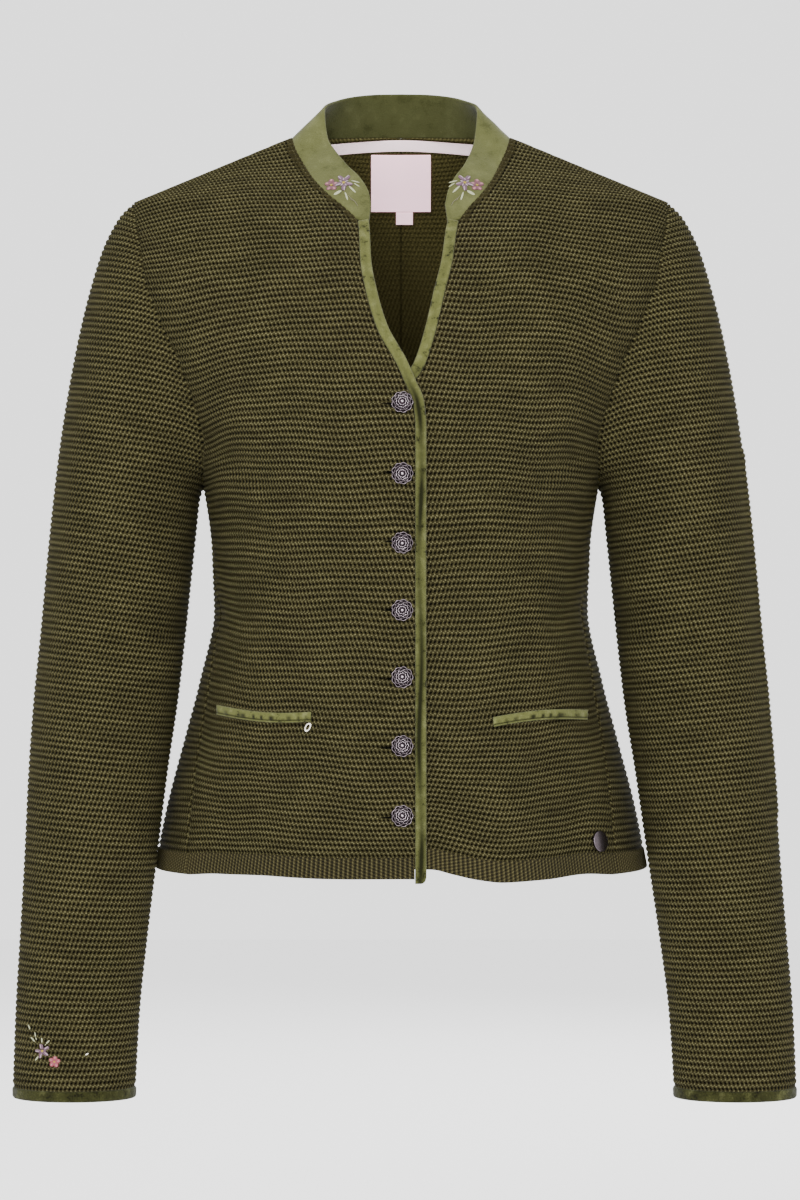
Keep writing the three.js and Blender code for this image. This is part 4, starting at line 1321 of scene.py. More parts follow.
@dataclass
class JoinedBack:
    """Two half walls welded along the centre line below the neck seam.

    Args:
        name: name of the object.
        parts: for each half its outer grid, its inner grid and the number of welded rows.
    """

    name: str
    parts: list[tuple[dict[str, Array], dict[str, Array], int]]

    def build(self) -> Thing:
        """The back as one closed mesh.

        Returns:
            The object.
        """
        bm = bmesh.new()
        points, uvs, centre, marks = [], [], [], []
        for outer, inner, closed in self.parts:
            rows, columns = outer["points"].shape[0] - 1, outer["points"].shape[1] - 1
            inner_columns = inner["points"].shape[1] - 1
            half = two_layers(rows, columns, inner_columns)
            open_from = -1 + 2 * (closed - 1) / rows - NEAR
            bridge(half, lambda c: c.y < NEAR - 1)
            bridge(half, lambda c: c.y > 1 - NEAR)
            bridge(half, lambda c: c.x > 1 - NEAR)
            bridge(half, lambda c, start=open_from: c.x < NEAR - 1 and c.y > start)
            mesh = mesh_of(half, "half")
            bm.from_mesh(mesh)
            bpy.data.meshes.remove(mesh)
            marks.append(wall_marks(outer, inner))
            for grid, width in ((outer, columns + 1), (inner, inner_columns + 1)):
                points.append(grid["points"].reshape(-1, 3))
                uvs.append(grid["uv"].reshape(-1, 2))
                on_line = np.zeros((rows + 1, width), bool)
                on_line[:closed, 0] = True
                centre.append(on_line.ravel())
        joined = np.concatenate(centre)
        both = {mark: np.concatenate([part[mark] for part in marks]) for mark in marks[0]}
        mesh = place_points(bm, self.name, np.concatenate(points), np.concatenate(uvs), both)
        tidy_mesh(mesh, lambda index: bool(joined[index]))
        return new_object(self.name, mesh)


# Sleeves


SLEEVE_FOLDS = {
    Side.RIGHT: (
        Fold(62, -200, 66, -300, -1.6, 7),
        Fold(150, -318, 82, -338, 2.0, 8),
        Fold(168, -342, 96, -352, -2.0, 8),
        Fold(150, -372, 88, -380, 1.8, 8),
        Fold(160, -402, 108, -398, -1.6, 7),
        Fold(110, -262, 60, -292, 1.3, 9),
        Fold(30, -440, 84, -470, -1.2, 9),
        Fold(96, -520, 40, -548, 1.0, 9),
        Fold(-40, -300, -110, -330, -1.6, 9),
        Fold(-50, -380, -120, -400, 1.6, 9),
        Fold(-60, -480, -120, -510, -1.3, 9),
    ),
    Side.LEFT: (
        Fold(14, -220, 12, -470, 1.6, 4),
        Fold(150, -312, 88, -330, 2.0, 8),
        Fold(170, -336, 92, -348, -2.1, 8),
        Fold(152, -366, 90, -372, 1.7, 8),
        Fold(165, -394, 104, -394, -1.5, 7),
        Fold(120, -256, 66, -284, 1.4, 9),
        Fold(40, -452, 90, -474, -1.2, 9),
        Fold(100, -534, 50, -560, 1.1, 9),
        Fold(-44, -310, -112, -338, -1.6, 9),
        Fold(-54, -388, -118, -404, 1.5, 9),
        Fold(-66, -490, -124, -516, -1.2, 9),
    ),
}


class SleeveForm:
    """A sleeve's smooth surface by angle round it and by ring down it."""

    RINGS = 13
    SPREAD = 5.0
    RADIUS = 46.0

    def __init__(self, form: BodyForm, side: Side) -> None:
        """Reads the table of rings."""
        self.form = form
        self.side = side
        self.curves = {name: SLEEVE.curve(name) for name in SLEEVE.columns[1:]}

    def frame(self, ring: Array) -> dict[str, Array]:
        """Middle, axes and half sizes of rings."""
        ring = np.asarray(ring, float)
        s = self.side.value
        spread = self.SPREAD * smoothstep(ring, 8, 13) if self.side is Side.LEFT else 0 * ring
        c = {name: curve(ring) for name, curve in self.curves.items()}
        zero = 0 * ring
        outer = np.stack([s * (c["outer"] + spread), zero, c["outer_z"]], -1)
        inner = np.stack([s * (c["inner"] + spread), zero, c["inner_z"]], -1)
        up = outer - inner
        half = np.linalg.norm(up, axis=-1) / 2
        up = unit(up)
        out = np.stack([up[..., 2] * s, zero, -up[..., 0] * s], -1)
        return {
            "middle": (outer + inner) / 2,
            "up": up,
            "out": out,
            "half": half,
            "forward": c["forward"],
            "depth": c["half_depth"],
        }

    def armhole(self, angle: Array) -> tuple[Array, Array]:
        """Point and normal of the armhole: 0 is the shoulder tip and the front comes first."""
        sine = np.sin(angle)
        z = mix(ARMPIT, TIP_Z, (1 + np.cos(angle)) / 2)
        bow = np.where(sine >= 0, ARMHOLE_BOW[Half.FRONT], ARMHOLE_BOW[Half.BACK])
        return self.form.cloth(self.side.value * (90 - bow * sine), z)

    def point(self, angle: Array, ring: Array) -> Array:
        """Point of the outer face without folds."""
        angle, ring = matched(angle, ring)
        start = self.frame(np.zeros(1))
        there = self.frame(ring)
        seam = self.armhole(angle)[0] - start["middle"][0]
        round_ = smoothstep(ring, 0, 4)
        up = mix(seam @ start["up"][0] / start["half"][0], np.cos(angle), round_)
        y = mix(seam[..., 1], there["forward"] - there["depth"] * np.sin(angle), round_)
        out = (seam @ start["out"][0]) * (1 - round_)
        point = there["middle"] + there["up"] * (up * there["half"])[..., None]
        point = point + there["out"] * out[..., None]
        return np.concatenate([point[..., :1], y[..., None], point[..., 2:]], -1)

    def normal(self, angle: Array, ring: Array) -> Array:
        """Outward normal of the smooth surface."""
        low, high = np.clip(ring - 0.04, 0, self.RINGS), np.clip(ring + 0.04, 0, self.RINGS)
        round_ = self.point(angle + 0.03, ring) - self.point(angle - 0.03, ring)
        along = self.point(angle, high) - self.point(angle, low)
        own = unit(np.cross(round_, along)) * self.side.value
        return unit(mix(self.armhole(angle)[1], own, smoothstep(ring, 0, 0.35)[..., None]))

    def fold_rise(self, angle: Array, z: Array) -> Array:
        """Height of the sleeve's folds."""
        place = np.stack([angle * self.RADIUS, z], -1)
        rise = np.zeros(place.shape[:-1])
        for fold in SLEEVE_FOLDS[self.side]:
            start = np.array([math.radians(fold.from_turn) * self.RADIUS, fold.from_z])
            line = np.array([math.radians(fold.to_turn) * self.RADIUS, fold.to_z]) - start
            rise += fold.height(place - start, line)
        return rise


class SleeveRows:
    """Rows of a sleeve: even down to the cuff, and by distance along the cloth up the cap."""

    BASE_RING = 6.0
    ANGLES = 145
    STEPS = 140

    def __init__(self, sleeve: SleeveForm) -> None:
        """Measures the cloth up and down from the base ring at many angles."""
        self.sleeve = sleeve
        self.angles = np.linspace(-np.pi, np.pi, self.ANGLES)
        self.even = np.linspace(0, 1, self.STEPS)
        self.up_rings, self.up_total = self._measure(np.linspace(self.BASE_RING, 0, 400))
        self.down_rings, self.down_total = self._measure(np.linspace(self.BASE_RING, SleeveForm.RINGS, 400))
        self.length = float(self.down_total.mean())
        self.closed = float(self.up_total[0])
        middle = self.ANGLES // 2
        self.top = float(self.up_total[middle]) - 0.5
        rising = np.maximum.accumulate(self.up_total[: middle + 1] + 1e-6 * np.arange(middle + 1))
        self.back_rows, self.back_angles = rising, self.angles[: middle + 1]
        front = self.up_total[middle:][::-1]
        self.front_rows = np.maximum.accumulate(front + 1e-6 * np.arange(len(front)))
        self.front_angles = self.angles[middle:][::-1]

    def _measure(self, rings: Array) -> tuple[Array, Array]:
        """Ring at each even share of a column's length, and the lengths."""
        angle, ring = np.meshgrid(self.angles, rings, indexing="ij")
        points = self.sleeve.point(angle, ring)
        arc = distance_along(points)
        total = arc[:, -1]
        found = np.array([np.interp(self.even, arc[i] / total[i], rings) for i in range(len(arc))])
        return found, total

    def ends(self, row: Array) -> tuple[Array, Array]:
        """Angles where a row starts and ends, at the back and the front of the armhole."""
        start = np.interp(row, self.back_rows, self.back_angles)
        end = np.interp(row, self.front_rows, self.front_angles)
        return np.where(row <= self.closed, -np.pi, start), np.where(row <= self.closed, np.pi, end)

    def ring(self, angle: Array, row: Array) -> Array:
        """Ring number at an angle on a row; rows below the base ring are negative."""
        i = np.clip((angle + np.pi) / (2 * np.pi) * (self.ANGLES - 1), 0, self.ANGLES - 1.001)
        i0 = i.astype(int)
        fi = i - i0
        up_total = mix(self.up_total[i0], self.up_total[i0 + 1], fi)
        share = np.clip(np.where(row >= 0, row / up_total, -row / self.length), 0, 1)
        j = np.clip(share * (self.STEPS - 1), 0, self.STEPS - 1.001)
        j0 = j.astype(int)
        fj = j - j0

        def sample(grid: Array) -> Array:
            """Bilinear reading of a grid of rings."""
            low = mix(grid[i0, j0], grid[i0, j0 + 1], fj)
            high = mix(grid[i0 + 1, j0], grid[i0 + 1, j0 + 1], fj)
            return mix(low, high, fi)

        return np.where(row >= 0, sample(self.up_rings), sample(self.down_rings))


class Sleeve:
    """One knitted sleeve."""

    AROUND = 290.0

    def __init__(self, form: BodyForm, side: Side, shape: KnitShape) -> None:
        """Measures the sleeve's rows."""
        self.side = side
        self.shape = shape
        self.surface = SleeveForm(form, side)
        self.rows = SleeveRows(self.surface)

    def grid(self, shares: Array, rows: Array, wall: float) -> dict[str, Array]:
        """Points and UV of the sleeve at shares round it and rows along it."""
        share, row = np.meshgrid(shares, rows)
        start, end = self.rows.ends(row)
        angle = mix(start, end, share)
        ring = self.rows.ring(angle, row)
        smooth = self.surface.point(angle, ring)
        normal = self.surface.normal(angle, ring)
        rise = self.surface.fold_rise(angle, smooth[..., 2]) - wall
        smooth = smooth + normal * rise[..., None]
        along = distance_along(smooth)
        centre = np.array([np.interp(0.0, angle[k], along[k]) for k in range(len(rows))])
        open_rows = row > self.rows.closed
        reach = self.shape.seam_reach
        ends = bell(along, reach) + bell(along[:, -1:] - along, reach)
        foot = bell(row - rows[0], reach)
        drop = np.clip(np.where(open_rows, ends, self.shape.underarm_share * ends), 0, 1)
        fade = 1 - np.clip(drop + foot, 0, 1)
        phase = row - rows[0]
        ridge = self.shape.ridge if wall == 0 else -self.shape.inner_ridge
        depth = self.shape.seam_depth if wall == 0 else 0.0
        out = ridge_height(phase, ridge) * fade - depth * (drop + foot)
        uv = np.stack([along - centre[:, None], phase], -1)
        return {"points": smooth + normal * out[..., None], "uv": uv}

    def build(self) -> Thing:
        """The sleeve as an object."""
        rows = row_list(self.rows.top, -self.rows.length)
        shares = eased_shares(self.AROUND, self.shape.column_step, self.shape.lip)
        inner_shares = np.append(shares[:: self.shape.inner_every][:-1], 1.0)
        outer = self.grid(shares, rows, 0.0)
        inner = self.grid(inner_shares, rows, KNIT_WALL)
        closed = int(np.searchsorted(rows, self.rows.closed))
        return WallShell(f"sleeve_{self.side.word}", outer, inner, closed).build()


@dataclass(frozen=True)
class CuffBinding:
    """Velvet strip round a cuff."""

    height: float = 7.0
    thickness: float = 3.4
    proud: float = 0.5

    def build(self, surface: SleeveForm) -> Thing:
        """The strip on a sleeve."""
        angle = np.linspace(-np.pi, np.pi, 141)
        last = float(SleeveForm.RINGS)
        base = surface.point(angle, np.full(angle.shape, last))
        normal = surface.normal(angle, np.full(angle.shape, last - 0.05))
        normal[:, 2] = 0
        normal = unit(normal)
        shares = eased_shares(self.height, 1.0, 1.4)
        drop = (self.height + 0.7) * shares - 0.4
        middle = base[None] + np.stack([0 * drop, 0 * drop, -drop], -1)[:, None]
        around = np.cumsum(np.linalg.norm(np.diff(base, axis=0, prepend=base[:1]), axis=-1))
        along, down = np.meshgrid(around, drop)
        crush = 0.16 * np.sin(along * 0.9 + 2 * np.sin(along * 0.23)) * np.sin(down * 0.8)
        normals = np.broadcast_to(normal, middle.shape)
        middle = middle + normals * (self.proud - self.thickness / 2)
        border = np.broadcast_to((np.minimum(shares, 1 - shares) * self.height)[:, None], along.shape)
        uv = np.stack([along, down], -1)
        name = f"cuff_binding_{surface.side.word}"
        dark = 0.5 + 0.5 * np.sin(along * 0.31 + 3 * np.sin(along * 0.07))
        return PillowStrip(name, middle, normals, border, self.thickness, uv, crush, 0.0, 0.35 * dark).build()


# Hem bands


@dataclass(frozen=True)
class HemBand:
    """Ribbed band under the panels."""

    rib: float = 3.0
    depth: float = 0.5
    thickness: float = 2.8
    step: float = 0.75

    def build(
        self, form: BodyForm, lap: Lap, name: str, start: float, end: float, side: Side | None
    ) -> Thing:
        """A band between two turns, in degrees round the form.

        Args:
            form: the worn form.
            lap: lift of the right front.
            name: name of the piece.
            start: turn at its first end.
            end: turn at its last end.
            side: side of the front it belongs to, or None for the back.

        Returns:
            The band.
        """
        shares = eased_shares(HEM_BAND, 1.4, 1.4)
        turns = np.linspace(start, end, 40)
        line = form.cloth(turns, np.full(turns.shape, HEM + HEM_BAND / 2))[0]
        length = float(np.linalg.norm(np.diff(line, axis=0), axis=-1).sum())
        across = eased_shares(length, self.step, 1.2)
        turn, down = np.meshgrid(mix(start, end, across), shares)
        z = HEM_SEAM + 0.5 - (HEM_BAND + 0.5) * down
        lift = lap(form, turn, z) if side is Side.RIGHT else 0 * z
        points, normal = form.cloth(turn, z, lift + 0.2 - self.thickness / 2)
        if side is not None:
            points[..., 2] += hem_wave(side, points[..., 0], z)
        along = np.broadcast_to(across * length, turn.shape)
        ribs = self.depth * np.cos(2 * np.pi * along / self.rib)
        edge = np.minimum(np.minimum(down, 1 - down) * HEM_BAND, np.minimum(along, length - along))
        uv = np.stack([along, down * HEM_BAND], -1)
        return PillowStrip(name, points, normal, edge, self.thickness, uv, ribs, -ribs).build()


# Collar and edge bindings


class NeckLine:
    """The neck seam on one side and the collar's top edge over it."""

    END = {Side.RIGHT: 22.0, Side.LEFT: 32.0}
    END_Z = -62.5
    BEND = 3.0
    LEFT_SHIFT = 10.0

    def __init__(self, form: BodyForm, side: Side) -> None:
        """Samples the seam from the centre back, along 0, to the front end, along 2."""
        self.side = side
        back_x = np.linspace(0, NECK_X, 60)
        back_z = back_neck_height(back_x)
        front_z = np.linspace(NECK_Z, self.END_Z, 60)[1:]
        front_x = FRONT_EDGES.curve(side.word)(front_z)
        front_x[-1] = self.END[side]
        bend_z = self.END_Z + self.BEND
        near_end = front_z < bend_z
        bent = np.interp(front_z, [self.END_Z, bend_z], [self.END[side], front_x[~near_end][-1]])
        front_x = np.where(near_end, bent, front_x)
        drop = NECK_Z - self.END_Z
        self.along = np.concatenate([back_x / NECK_X, 1 + (NECK_Z - front_z) / drop])
        turn = np.concatenate([180 - form.turn_at(back_x, back_z), form.turn_at(front_x, front_z)])
        z = np.concatenate([back_z, front_z])
        self.seam = form.cloth(side.value * turn, z)[0]
        self.top_curves = [COLLAR_TOP.curve(name) for name in ("x", "y", "z")]

    def seam_at(self, along: Array) -> Array:
        """Points of the neck seam."""
        return np.stack([np.interp(along, self.along, self.seam[:, k]) for k in range(3)], -1)

    def top_at(self, along: Array) -> Array:
        """Points of the collar's top edge."""
        x, y, z = (curve(along) for curve in self.top_curves)
        shift = self.LEFT_SHIFT * smoothstep(along, 1.2, 2) if self.side is Side.LEFT else 0 * along
        return np.stack([self.side.value * (x + shift), y, z], -1)


@dataclass(frozen=True)
class Collar:
    """Velvet stand collar whose ends do not meet."""

    thickness: float = 2.6
    stitch_from_edge: float = 2.4
    stitch_depth: float = 0.35
    stitch_width: float = 0.5
    line_width: float = 0.7
    tuck: float = 0.6

    def middle(self, form: BodyForm) -> tuple[Array, Array, Array, Array]:
        """Middle surface from the right end to the left end.

        Returns:
            Points, normals, distance along and distance from the border, rows by columns.
        """
        right, left = NeckLine(form, Side.RIGHT), NeckLine(form, Side.LEFT)
        ends = 2 - np.array([0, 0.002, 0.006, 0.012, 0.02, 0.03, 0.045, 0.06])
        half = np.concatenate([ends, np.linspace(1.92, 0, 74)])
        seam = np.concatenate([right.seam_at(half), left.seam_at(half)[::-1][1:]])
        top = np.concatenate([right.top_at(half), left.top_at(half)[::-1][1:]])
        height = float(np.linalg.norm(top - seam, axis=-1).mean())
        shares = eased_shares(height, 1.6, 1.5)
        growth = unit(top - seam)
        seam = seam - self.tuck * growth
        points = seam[None] + (top - seam)[None] * shares[:, None, None]
        normal = grid_normals(points)
        points = points - normal * self.thickness / 2
        along = distance_along(points)
        heights = np.linalg.norm(top - seam, axis=-1)
        rise = shares[:, None] * heights[None]
        to_end = np.minimum(along, along[:, -1:] - along)
        return points, normal, along, np.stack([rise, heights[None] - rise, to_end], -1)

    def build(self, form: BodyForm) -> Thing:
        """The collar as an object."""
        points, normal, along, gaps = self.middle(form)
        border = gaps.min(-1)
        free = np.minimum(gaps[..., 1], gaps[..., 2])
        groove = -self.stitch_depth * bell(free - self.stitch_from_edge, self.stitch_width)
        soft = 0.12 * np.sin(along * 0.21 + 1.3) * np.sin(gaps[..., 0] * 0.17 + along * 0.05)
        uv = np.stack([along, gaps[..., 0]], -1)
        # Painted shade along the stitched groove
        line = 0.5 * bell(free - self.stitch_from_edge, self.line_width)
        relief = groove + soft
        return PillowStrip("collar", points, normal, border, self.thickness, uv, relief, groove, line).build()


@dataclass(frozen=True)
class EdgeBinding:
    """Velvet strip along a front's edge, round-backed."""

    near: float = 0.34
    far: float = 8.0
    thickness: float = 3.3
    out: float = -1.15
    foot: float = 3.0
    top_z: float = -61.6

    def build(self, form: BodyForm, lap: Lap, side: Side) -> Thing:
        """The binding of one side, from the hem to the collar."""
        foot = HEM - self.foot if side is Side.RIGHT else HEM
        length = self.top_z - foot
        heights = foot + length * eased_shares(length, 2.2, 2.0)
        turn = side.value * form.turn_at(FRONT_EDGES.curve(side.word)(heights), heights)
        lift = lap(form, turn, heights) if side is Side.RIGHT else 0 * heights
        point, normal = form.cloth(turn, heights, lift)
        point[:, 2] += hem_wave(side, point[:, 0], heights)
        along_dir = unit(np.gradient(point, axis=0))
        across_dir = unit(np.cross(along_dir, normal)) * -side.value
        width = self.far - self.near
        shares = eased_shares(width, 0.9, 1.6)
        run = distance_along(point[None])[0]
        corner = self.corner_width(run)
        across = self.near + width * shares[None] * corner[:, None]
        middle = point[:, None] + across_dir[:, None] * across[..., None]
        middle = middle + normal[:, None] * (self.out - 0.12 * (across / width) ** 2)[..., None]
        along = np.broadcast_to(run[:, None], across.shape)
        crush = np.sin(along * 0.55 + 2.2 * np.sin(along * 0.13) + across * 0.6)
        crush = 0.12 * crush * np.sin(along * 0.17 + across)
        normals = np.broadcast_to(normal[:, None], middle.shape)
        border = np.minimum(np.minimum(shares, 1 - shares)[None] * width, np.minimum(along, run[-1] - along))
        border = np.minimum(border, self.thickness)
        uv = np.stack([along, across], -1)
        # Darker in a wandering stripe down the strip, in patches, and more so below the chest
        below = 1 - smoothstep(heights, -200, -150)[:, None]
        wander = 0.5 + 0.12 * np.sin(along * 0.05)
        stripe = bell(across / width - wander, 0.27)
        patch = 0.5 + 0.5 * np.sin(along * 0.06 + 2 * np.sin(along * 0.021))
        crease = stripe * (0.4 + 0.55 * patch) * (0.25 + 0.75 * below) + 0.2 * below
        name = f"binding_{side.word}"
        return PillowStrip(name, middle, normals, border, self.thickness, uv, crush, 0.0, crease).build()

    def corner_width(self, run: Array) -> Array:
        """Share of the full width along the strip: its foot is rounded."""
        t = np.clip(run / 5.0, 0, 1)
        return 0.5 + 0.5 * np.sqrt(1 - (1 - t) ** 2)


# Pieces that lie on the panels


@dataclass(frozen=True)
class PocketWelt:
    """Velvet welt of a pocket, with painted shade in a line near its lower edge and in its creases."""

    height: float = 6.8
    thickness: float = 2.6
    out: float = 0.6

    BOW = {Side.RIGHT: 2.2, Side.LEFT: -2.6}
    ENDS = {
        Side.RIGHT: ((-126.0, -396.0), (-59.7, -399.5)),
        Side.LEFT: ((127.5, -399.5), (61.5, -403.0)),
    }

    def build(self, form: BodyForm, lap: Lap, side: Side) -> Thing:
        """The welt on one front."""
        outer, inner = (np.array(end) for end in self.ENDS[side])
        length = float(np.linalg.norm(inner - outer))
        across = eased_shares(length, 0.9, 1.3)
        down = eased_shares(self.height, 0.6, 1.3)
        s, t = np.meshgrid(across, down)
        bow = self.BOW[side] * np.sin(np.pi * s)
        x = mix(outer[0], inner[0], s)
        z = mix(outer[1], inner[1], s) - self.height * t - bow
        turn = form.turn_at(x, z)
        lift = lap(form, turn, z) if side is Side.RIGHT else 0 * z
        middle, normal = form.cloth(turn, z, lift + self.out + self.thickness / 2)
        along, up = s * length, (1 - t) * self.height
        crush = along * 0.8 + 1.9 * np.sin(along * 0.21)
        wave = np.sin(crush + side.value) * bell(up - 2.4, 1.7)
        groove = -0.8 * bell(up - 1.3, 0.45)
        relief = 0.34 * wave + groove
        edge = from_border(s, t, length, self.height)
        uv = np.stack([along, up], -1)
        # Painted shade in the groove near the lower edge and in the creases
        line = 0.95 * bell(up - 1.45, 0.45)
        marks = np.clip(np.sin(crush), 0, 1) * bell(up - 2.9, 1.3)
        centre = bell(s - 0.5, 0.33)
        crease = np.clip(line + (0.35 + 0.85 * centre) * marks, 0, 1)
        name = f"pocket_welt_{side.word}"
        return PillowStrip(name, middle, normal, edge, self.thickness, uv, relief, 0.0, crease).build()


@dataclass(frozen=True)
class NeckTape:
    """Tape over the back neck seam, inside."""

    width: float = 7.0
    thickness: float = 1.1
    below: float = 1.0
    behind: float = 1.1

    def build(self, form: BodyForm) -> Thing:
        """The tape as an object."""
        half = NECK_X - 2.5
        x = np.linspace(-half, half, 81)
        down = eased_shares(self.width, 1.2, 0.9)
        xx, t = np.meshgrid(x, down)
        z = back_neck_height(np.abs(xx)) - self.below - self.width * t
        inward = KNIT_WALL + self.behind + self.thickness / 2
        middle, normal = form.cloth(180 - form.turn_at(xx, z), z, -inward + 0 * z)
        along = xx - x[0]
        edge = np.minimum(np.minimum(t, 1 - t) * self.width, np.minimum(along, along[:, -1:] - along))
        uv = np.stack([along, t * self.width], -1)
        return PillowStrip("neck_tape", middle, normal, edge, self.thickness, uv).build()


@dataclass(frozen=True)
class InnerPatch:
    """A small woven piece that hangs inside the back neck."""

    name: str
    width: float
    height: float
    x: float
    top: float
    behind_top: float
    behind_foot: float
    thickness: float = 0.9

    def build(self, form: BodyForm) -> Thing:
        """The patch as an object."""
        s, t = np.meshgrid(eased_shares(self.width, 2.0, 0.8), eased_shares(self.height, 2.0, 0.8))
        x = self.x + self.width * (s - 0.5)
        z = self.top - self.height * t
        behind = KNIT_WALL + mix(self.behind_top, self.behind_foot, t) + self.thickness / 2
        middle, normal = form.cloth(180 - form.turn_at(x, z), z, -behind)
        edge = from_border(s, t, self.width, self.height)
        uv = np.stack([s * self.width, t * self.height], -1)
        return PillowStrip(self.name, middle, normal, edge, self.thickness, uv).build()


# Buttons and badge


@dataclass(frozen=True)
class ButtonRow:
    """Places of the buttons down the centre front."""

    count: int = 7
    first: float = -190.5
    pitch: float = 46.4
    x: float = 0.8
    slit: float = 15.0

    def height(self, k: int) -> float:
        """Height of a button."""
        return self.first - k * self.pitch


BUTTONS = ButtonRow()


def place_frame(form: BodyForm, lap: Lap, x: float, z: float, out: float, lapped: bool = True) -> Matrix:
    """Frame of a place on a front, in metres: across, up and out."""
    turn = form.turn_at(np.full(1, x), np.full(1, z))
    lift = lap(form, turn, np.full(1, z)) if lapped else np.zeros(1)
    point, normal = form.cloth(turn, np.full(1, z), lift + out)
    n = Vector(normal[0])
    across = Vector((-n.y, n.x, 0)).normalized()
    up = n.cross(across)
    made = Matrix((across, up, n)).transposed().to_4x4()
    made.translation = Vector(point[0]) * MM
    return made


@dataclass(frozen=True)
class WireRing:
    """A closed wire that waves round a button."""

    radius: float
    wave: float
    lobes: int
    height: float
    wire: float
    phase: float = 0.0
    lift: float = 0.0


@dataclass(frozen=True)
class FiligreeButton:
    """Domed metal button with scalloped wire rings, beads and a boss, and with a polished middle that is
    lighter as a painted highlight.
    """

    rings: tuple[WireRing, ...] = (
        WireRing(6.9, 0.3, 9, 1.15, 0.4),
        WireRing(5.5, 0.3, 9, 2.35, 0.3, math.pi, 0.2),
        WireRing(4.0, 0.3, 9, 3.3, 0.24, 0.0, 0.15),
        WireRing(2.5, 0.2, 9, 3.95, 0.22),
    )
    dome: tuple[tuple[float, float], ...] = (
        (6.9, 0.0),
        (7.0, 0.7),
        (6.1, 1.5),
        (4.8, 2.35),
        (3.2, 3.15),
        (1.6, 3.7),
        (0.0, 3.85),
    )
    boss: float = 1.05
    beads: int = 9
    bead: float = 0.42
    bead_ring: tuple[float, float] = (4.6, 2.7)
    polished_and_highlit_within: float = 4.4

    def mesh(self, materials: Sequence[Material]) -> Mesh:
        """The button about its own axis, in metres.

        Args:
            materials: silver of the outer wires, shadowed silver of the dome, and polished silver with a
                painted highlight for the middle.

        Returns:
            The mesh.
        """
        bm = bmesh.new()
        self._dome(bm)
        dome_faces = len(bm.faces)
        for ring in self.rings:
            add_wire(bm, ring)
        reach, height = self.bead_ring
        for k in range(self.beads):
            angle = 2 * math.pi * (k + 0.5) / self.beads
            at = Matrix.Translation(Vector((reach * math.cos(angle), reach * math.sin(angle), height)) * MM)
            bmesh.ops.create_uvsphere(bm, u_segments=8, v_segments=6, radius=self.bead * MM, matrix=at)
        top = Matrix.Translation((0, 0, 3.9 * MM)) @ Matrix.Diagonal((1, 1, 0.62, 1))
        bmesh.ops.create_uvsphere(bm, u_segments=16, v_segments=10, radius=self.boss * MM, matrix=top)
        # The dome takes the shadowed silver, and the middle takes the polished silver with its painted
        # highlight
        for number, face in enumerate(bm.faces):
            near = face.calc_center_median().to_2d().length < self.polished_and_highlit_within * MM
            face.material_index = 1 if number < dome_faces else 2 * int(near)
        mesh = mesh_of(bm, "button")
        for material in materials:
            mesh.materials.append(material)
        return mesh

    def _dome(self, bm: BMesh) -> None:
        """Lathes the dome with a flat back."""
        previous = None
        chain = []
        for radius, height in ((0.0, 0.0), *self.dome):
            vertex = bm.verts.new((radius * MM, 0, height * MM))
            if previous is not None:
                chain.append(bm.edges.new((previous, vertex)))
            previous = vertex
        geom = list(bm.verts) + chain
        centre, upwards = (0, 0, 0), (0, 0, 1)
        bmesh.ops.spin(bm, geom=geom, cent=centre, axis=upwards, angle=2 * math.pi, steps=36, use_merge=True)
        bmesh.ops.remove_doubles(bm, verts=bm.verts, dist=1e-7)
        bmesh.ops.recalc_face_normals(bm, faces=bm.faces)


@dataclass(frozen=True)
class Badge:
    """Plain round metal badge by the left side seam."""

    radius: float = 7.3
    thickness: float = 1.6
    out: float = 0.68
    turn: float = 53.5
    z: float = -489.0

    def build(self, form: BodyForm, lap: Lap) -> Thing:
        """The badge as an object."""
        bm = bmesh.new()
        radius, depth = self.radius * MM, self.thickness * MM
        bmesh.ops.create_cone(bm, cap_ends=True, segments=48, radius1=radius, radius2=radius, depth=depth)
        rims = [e for e in bm.edges if abs(e.verts[0].co.z - e.verts[1].co.z) < 1e-6]
        bmesh.ops.bevel(bm, geom=rims, offset=0.4 * MM, segments=3, profile=0.5, affect="EDGES", material=-1)
        x = float(form.half_width(self.z) * np.sin(np.radians(self.turn)))
        made = place_frame(form, lap, x, self.z, self.thickness / 2 + self.out, False)
        bmesh.ops.transform(bm, matrix=made, verts=bm.verts)
        mesh = mesh_of(bm, "hem_badge")
        return new_object("hem_badge", mesh)


# Embroidery and small stitches

CAMERA_Z = -323.0
CAMERA_AWAY = 2500.0


class Ground:
    """A surface that embroidery lies on, found by where the camera sees it."""

    def __init__(self, points: Array, normals: Array) -> None:
        """Keeps the grid and its places in the picture plane, the plane Y = 0 seen from the camera."""
        self.points = points
        self.normals = normals
        near = CAMERA_AWAY / (CAMERA_AWAY + points[..., 1])
        self.seen = np.stack([points[..., 0] * near, CAMERA_Z + (points[..., 2] - CAMERA_Z) * near], -1)

    def frame(self, x: float, z: float, out: float) -> Matrix:
        """Frame of the place seen at x and z in the picture plane, in metres: across, up and out."""
        inner = self.seen[1:-1, 1:-1]
        away = np.linalg.norm(inner - np.array([x, z]), axis=-1)
        i, j = (int(k) + 1 for k in np.unravel_index(away.argmin(), away.shape))
        sides, cloth = (
            np.array([grid[i, j + 1] - grid[i, j - 1], grid[i + 1, j] - grid[i - 1, j]])
            for grid in (self.seen, self.points)
        )
        step = np.clip(np.linalg.solve(sides.T, np.array([x, z]) - self.seen[i, j]), -1, 1)
        moved = step[0] * cloth[0] + step[1] * cloth[1]
        n = Vector(self.normals[i, j]).normalized()
        up = (Vector((0, 0, 1)) - n * n.z).normalized()
        across = up.cross(n)
        made = Matrix((across, up, n)).transposed().to_4x4()
        made.translation = (Vector(self.points[i, j] + moved) + n * out) * MM
        return made


@dataclass(frozen=True)
class Petal:
    """One satin-stitched shape: where its middle lies, its heading in degrees, and its size."""

    x: float
    z: float
    heading: float
    length: float
    width: float
    thread: Thread


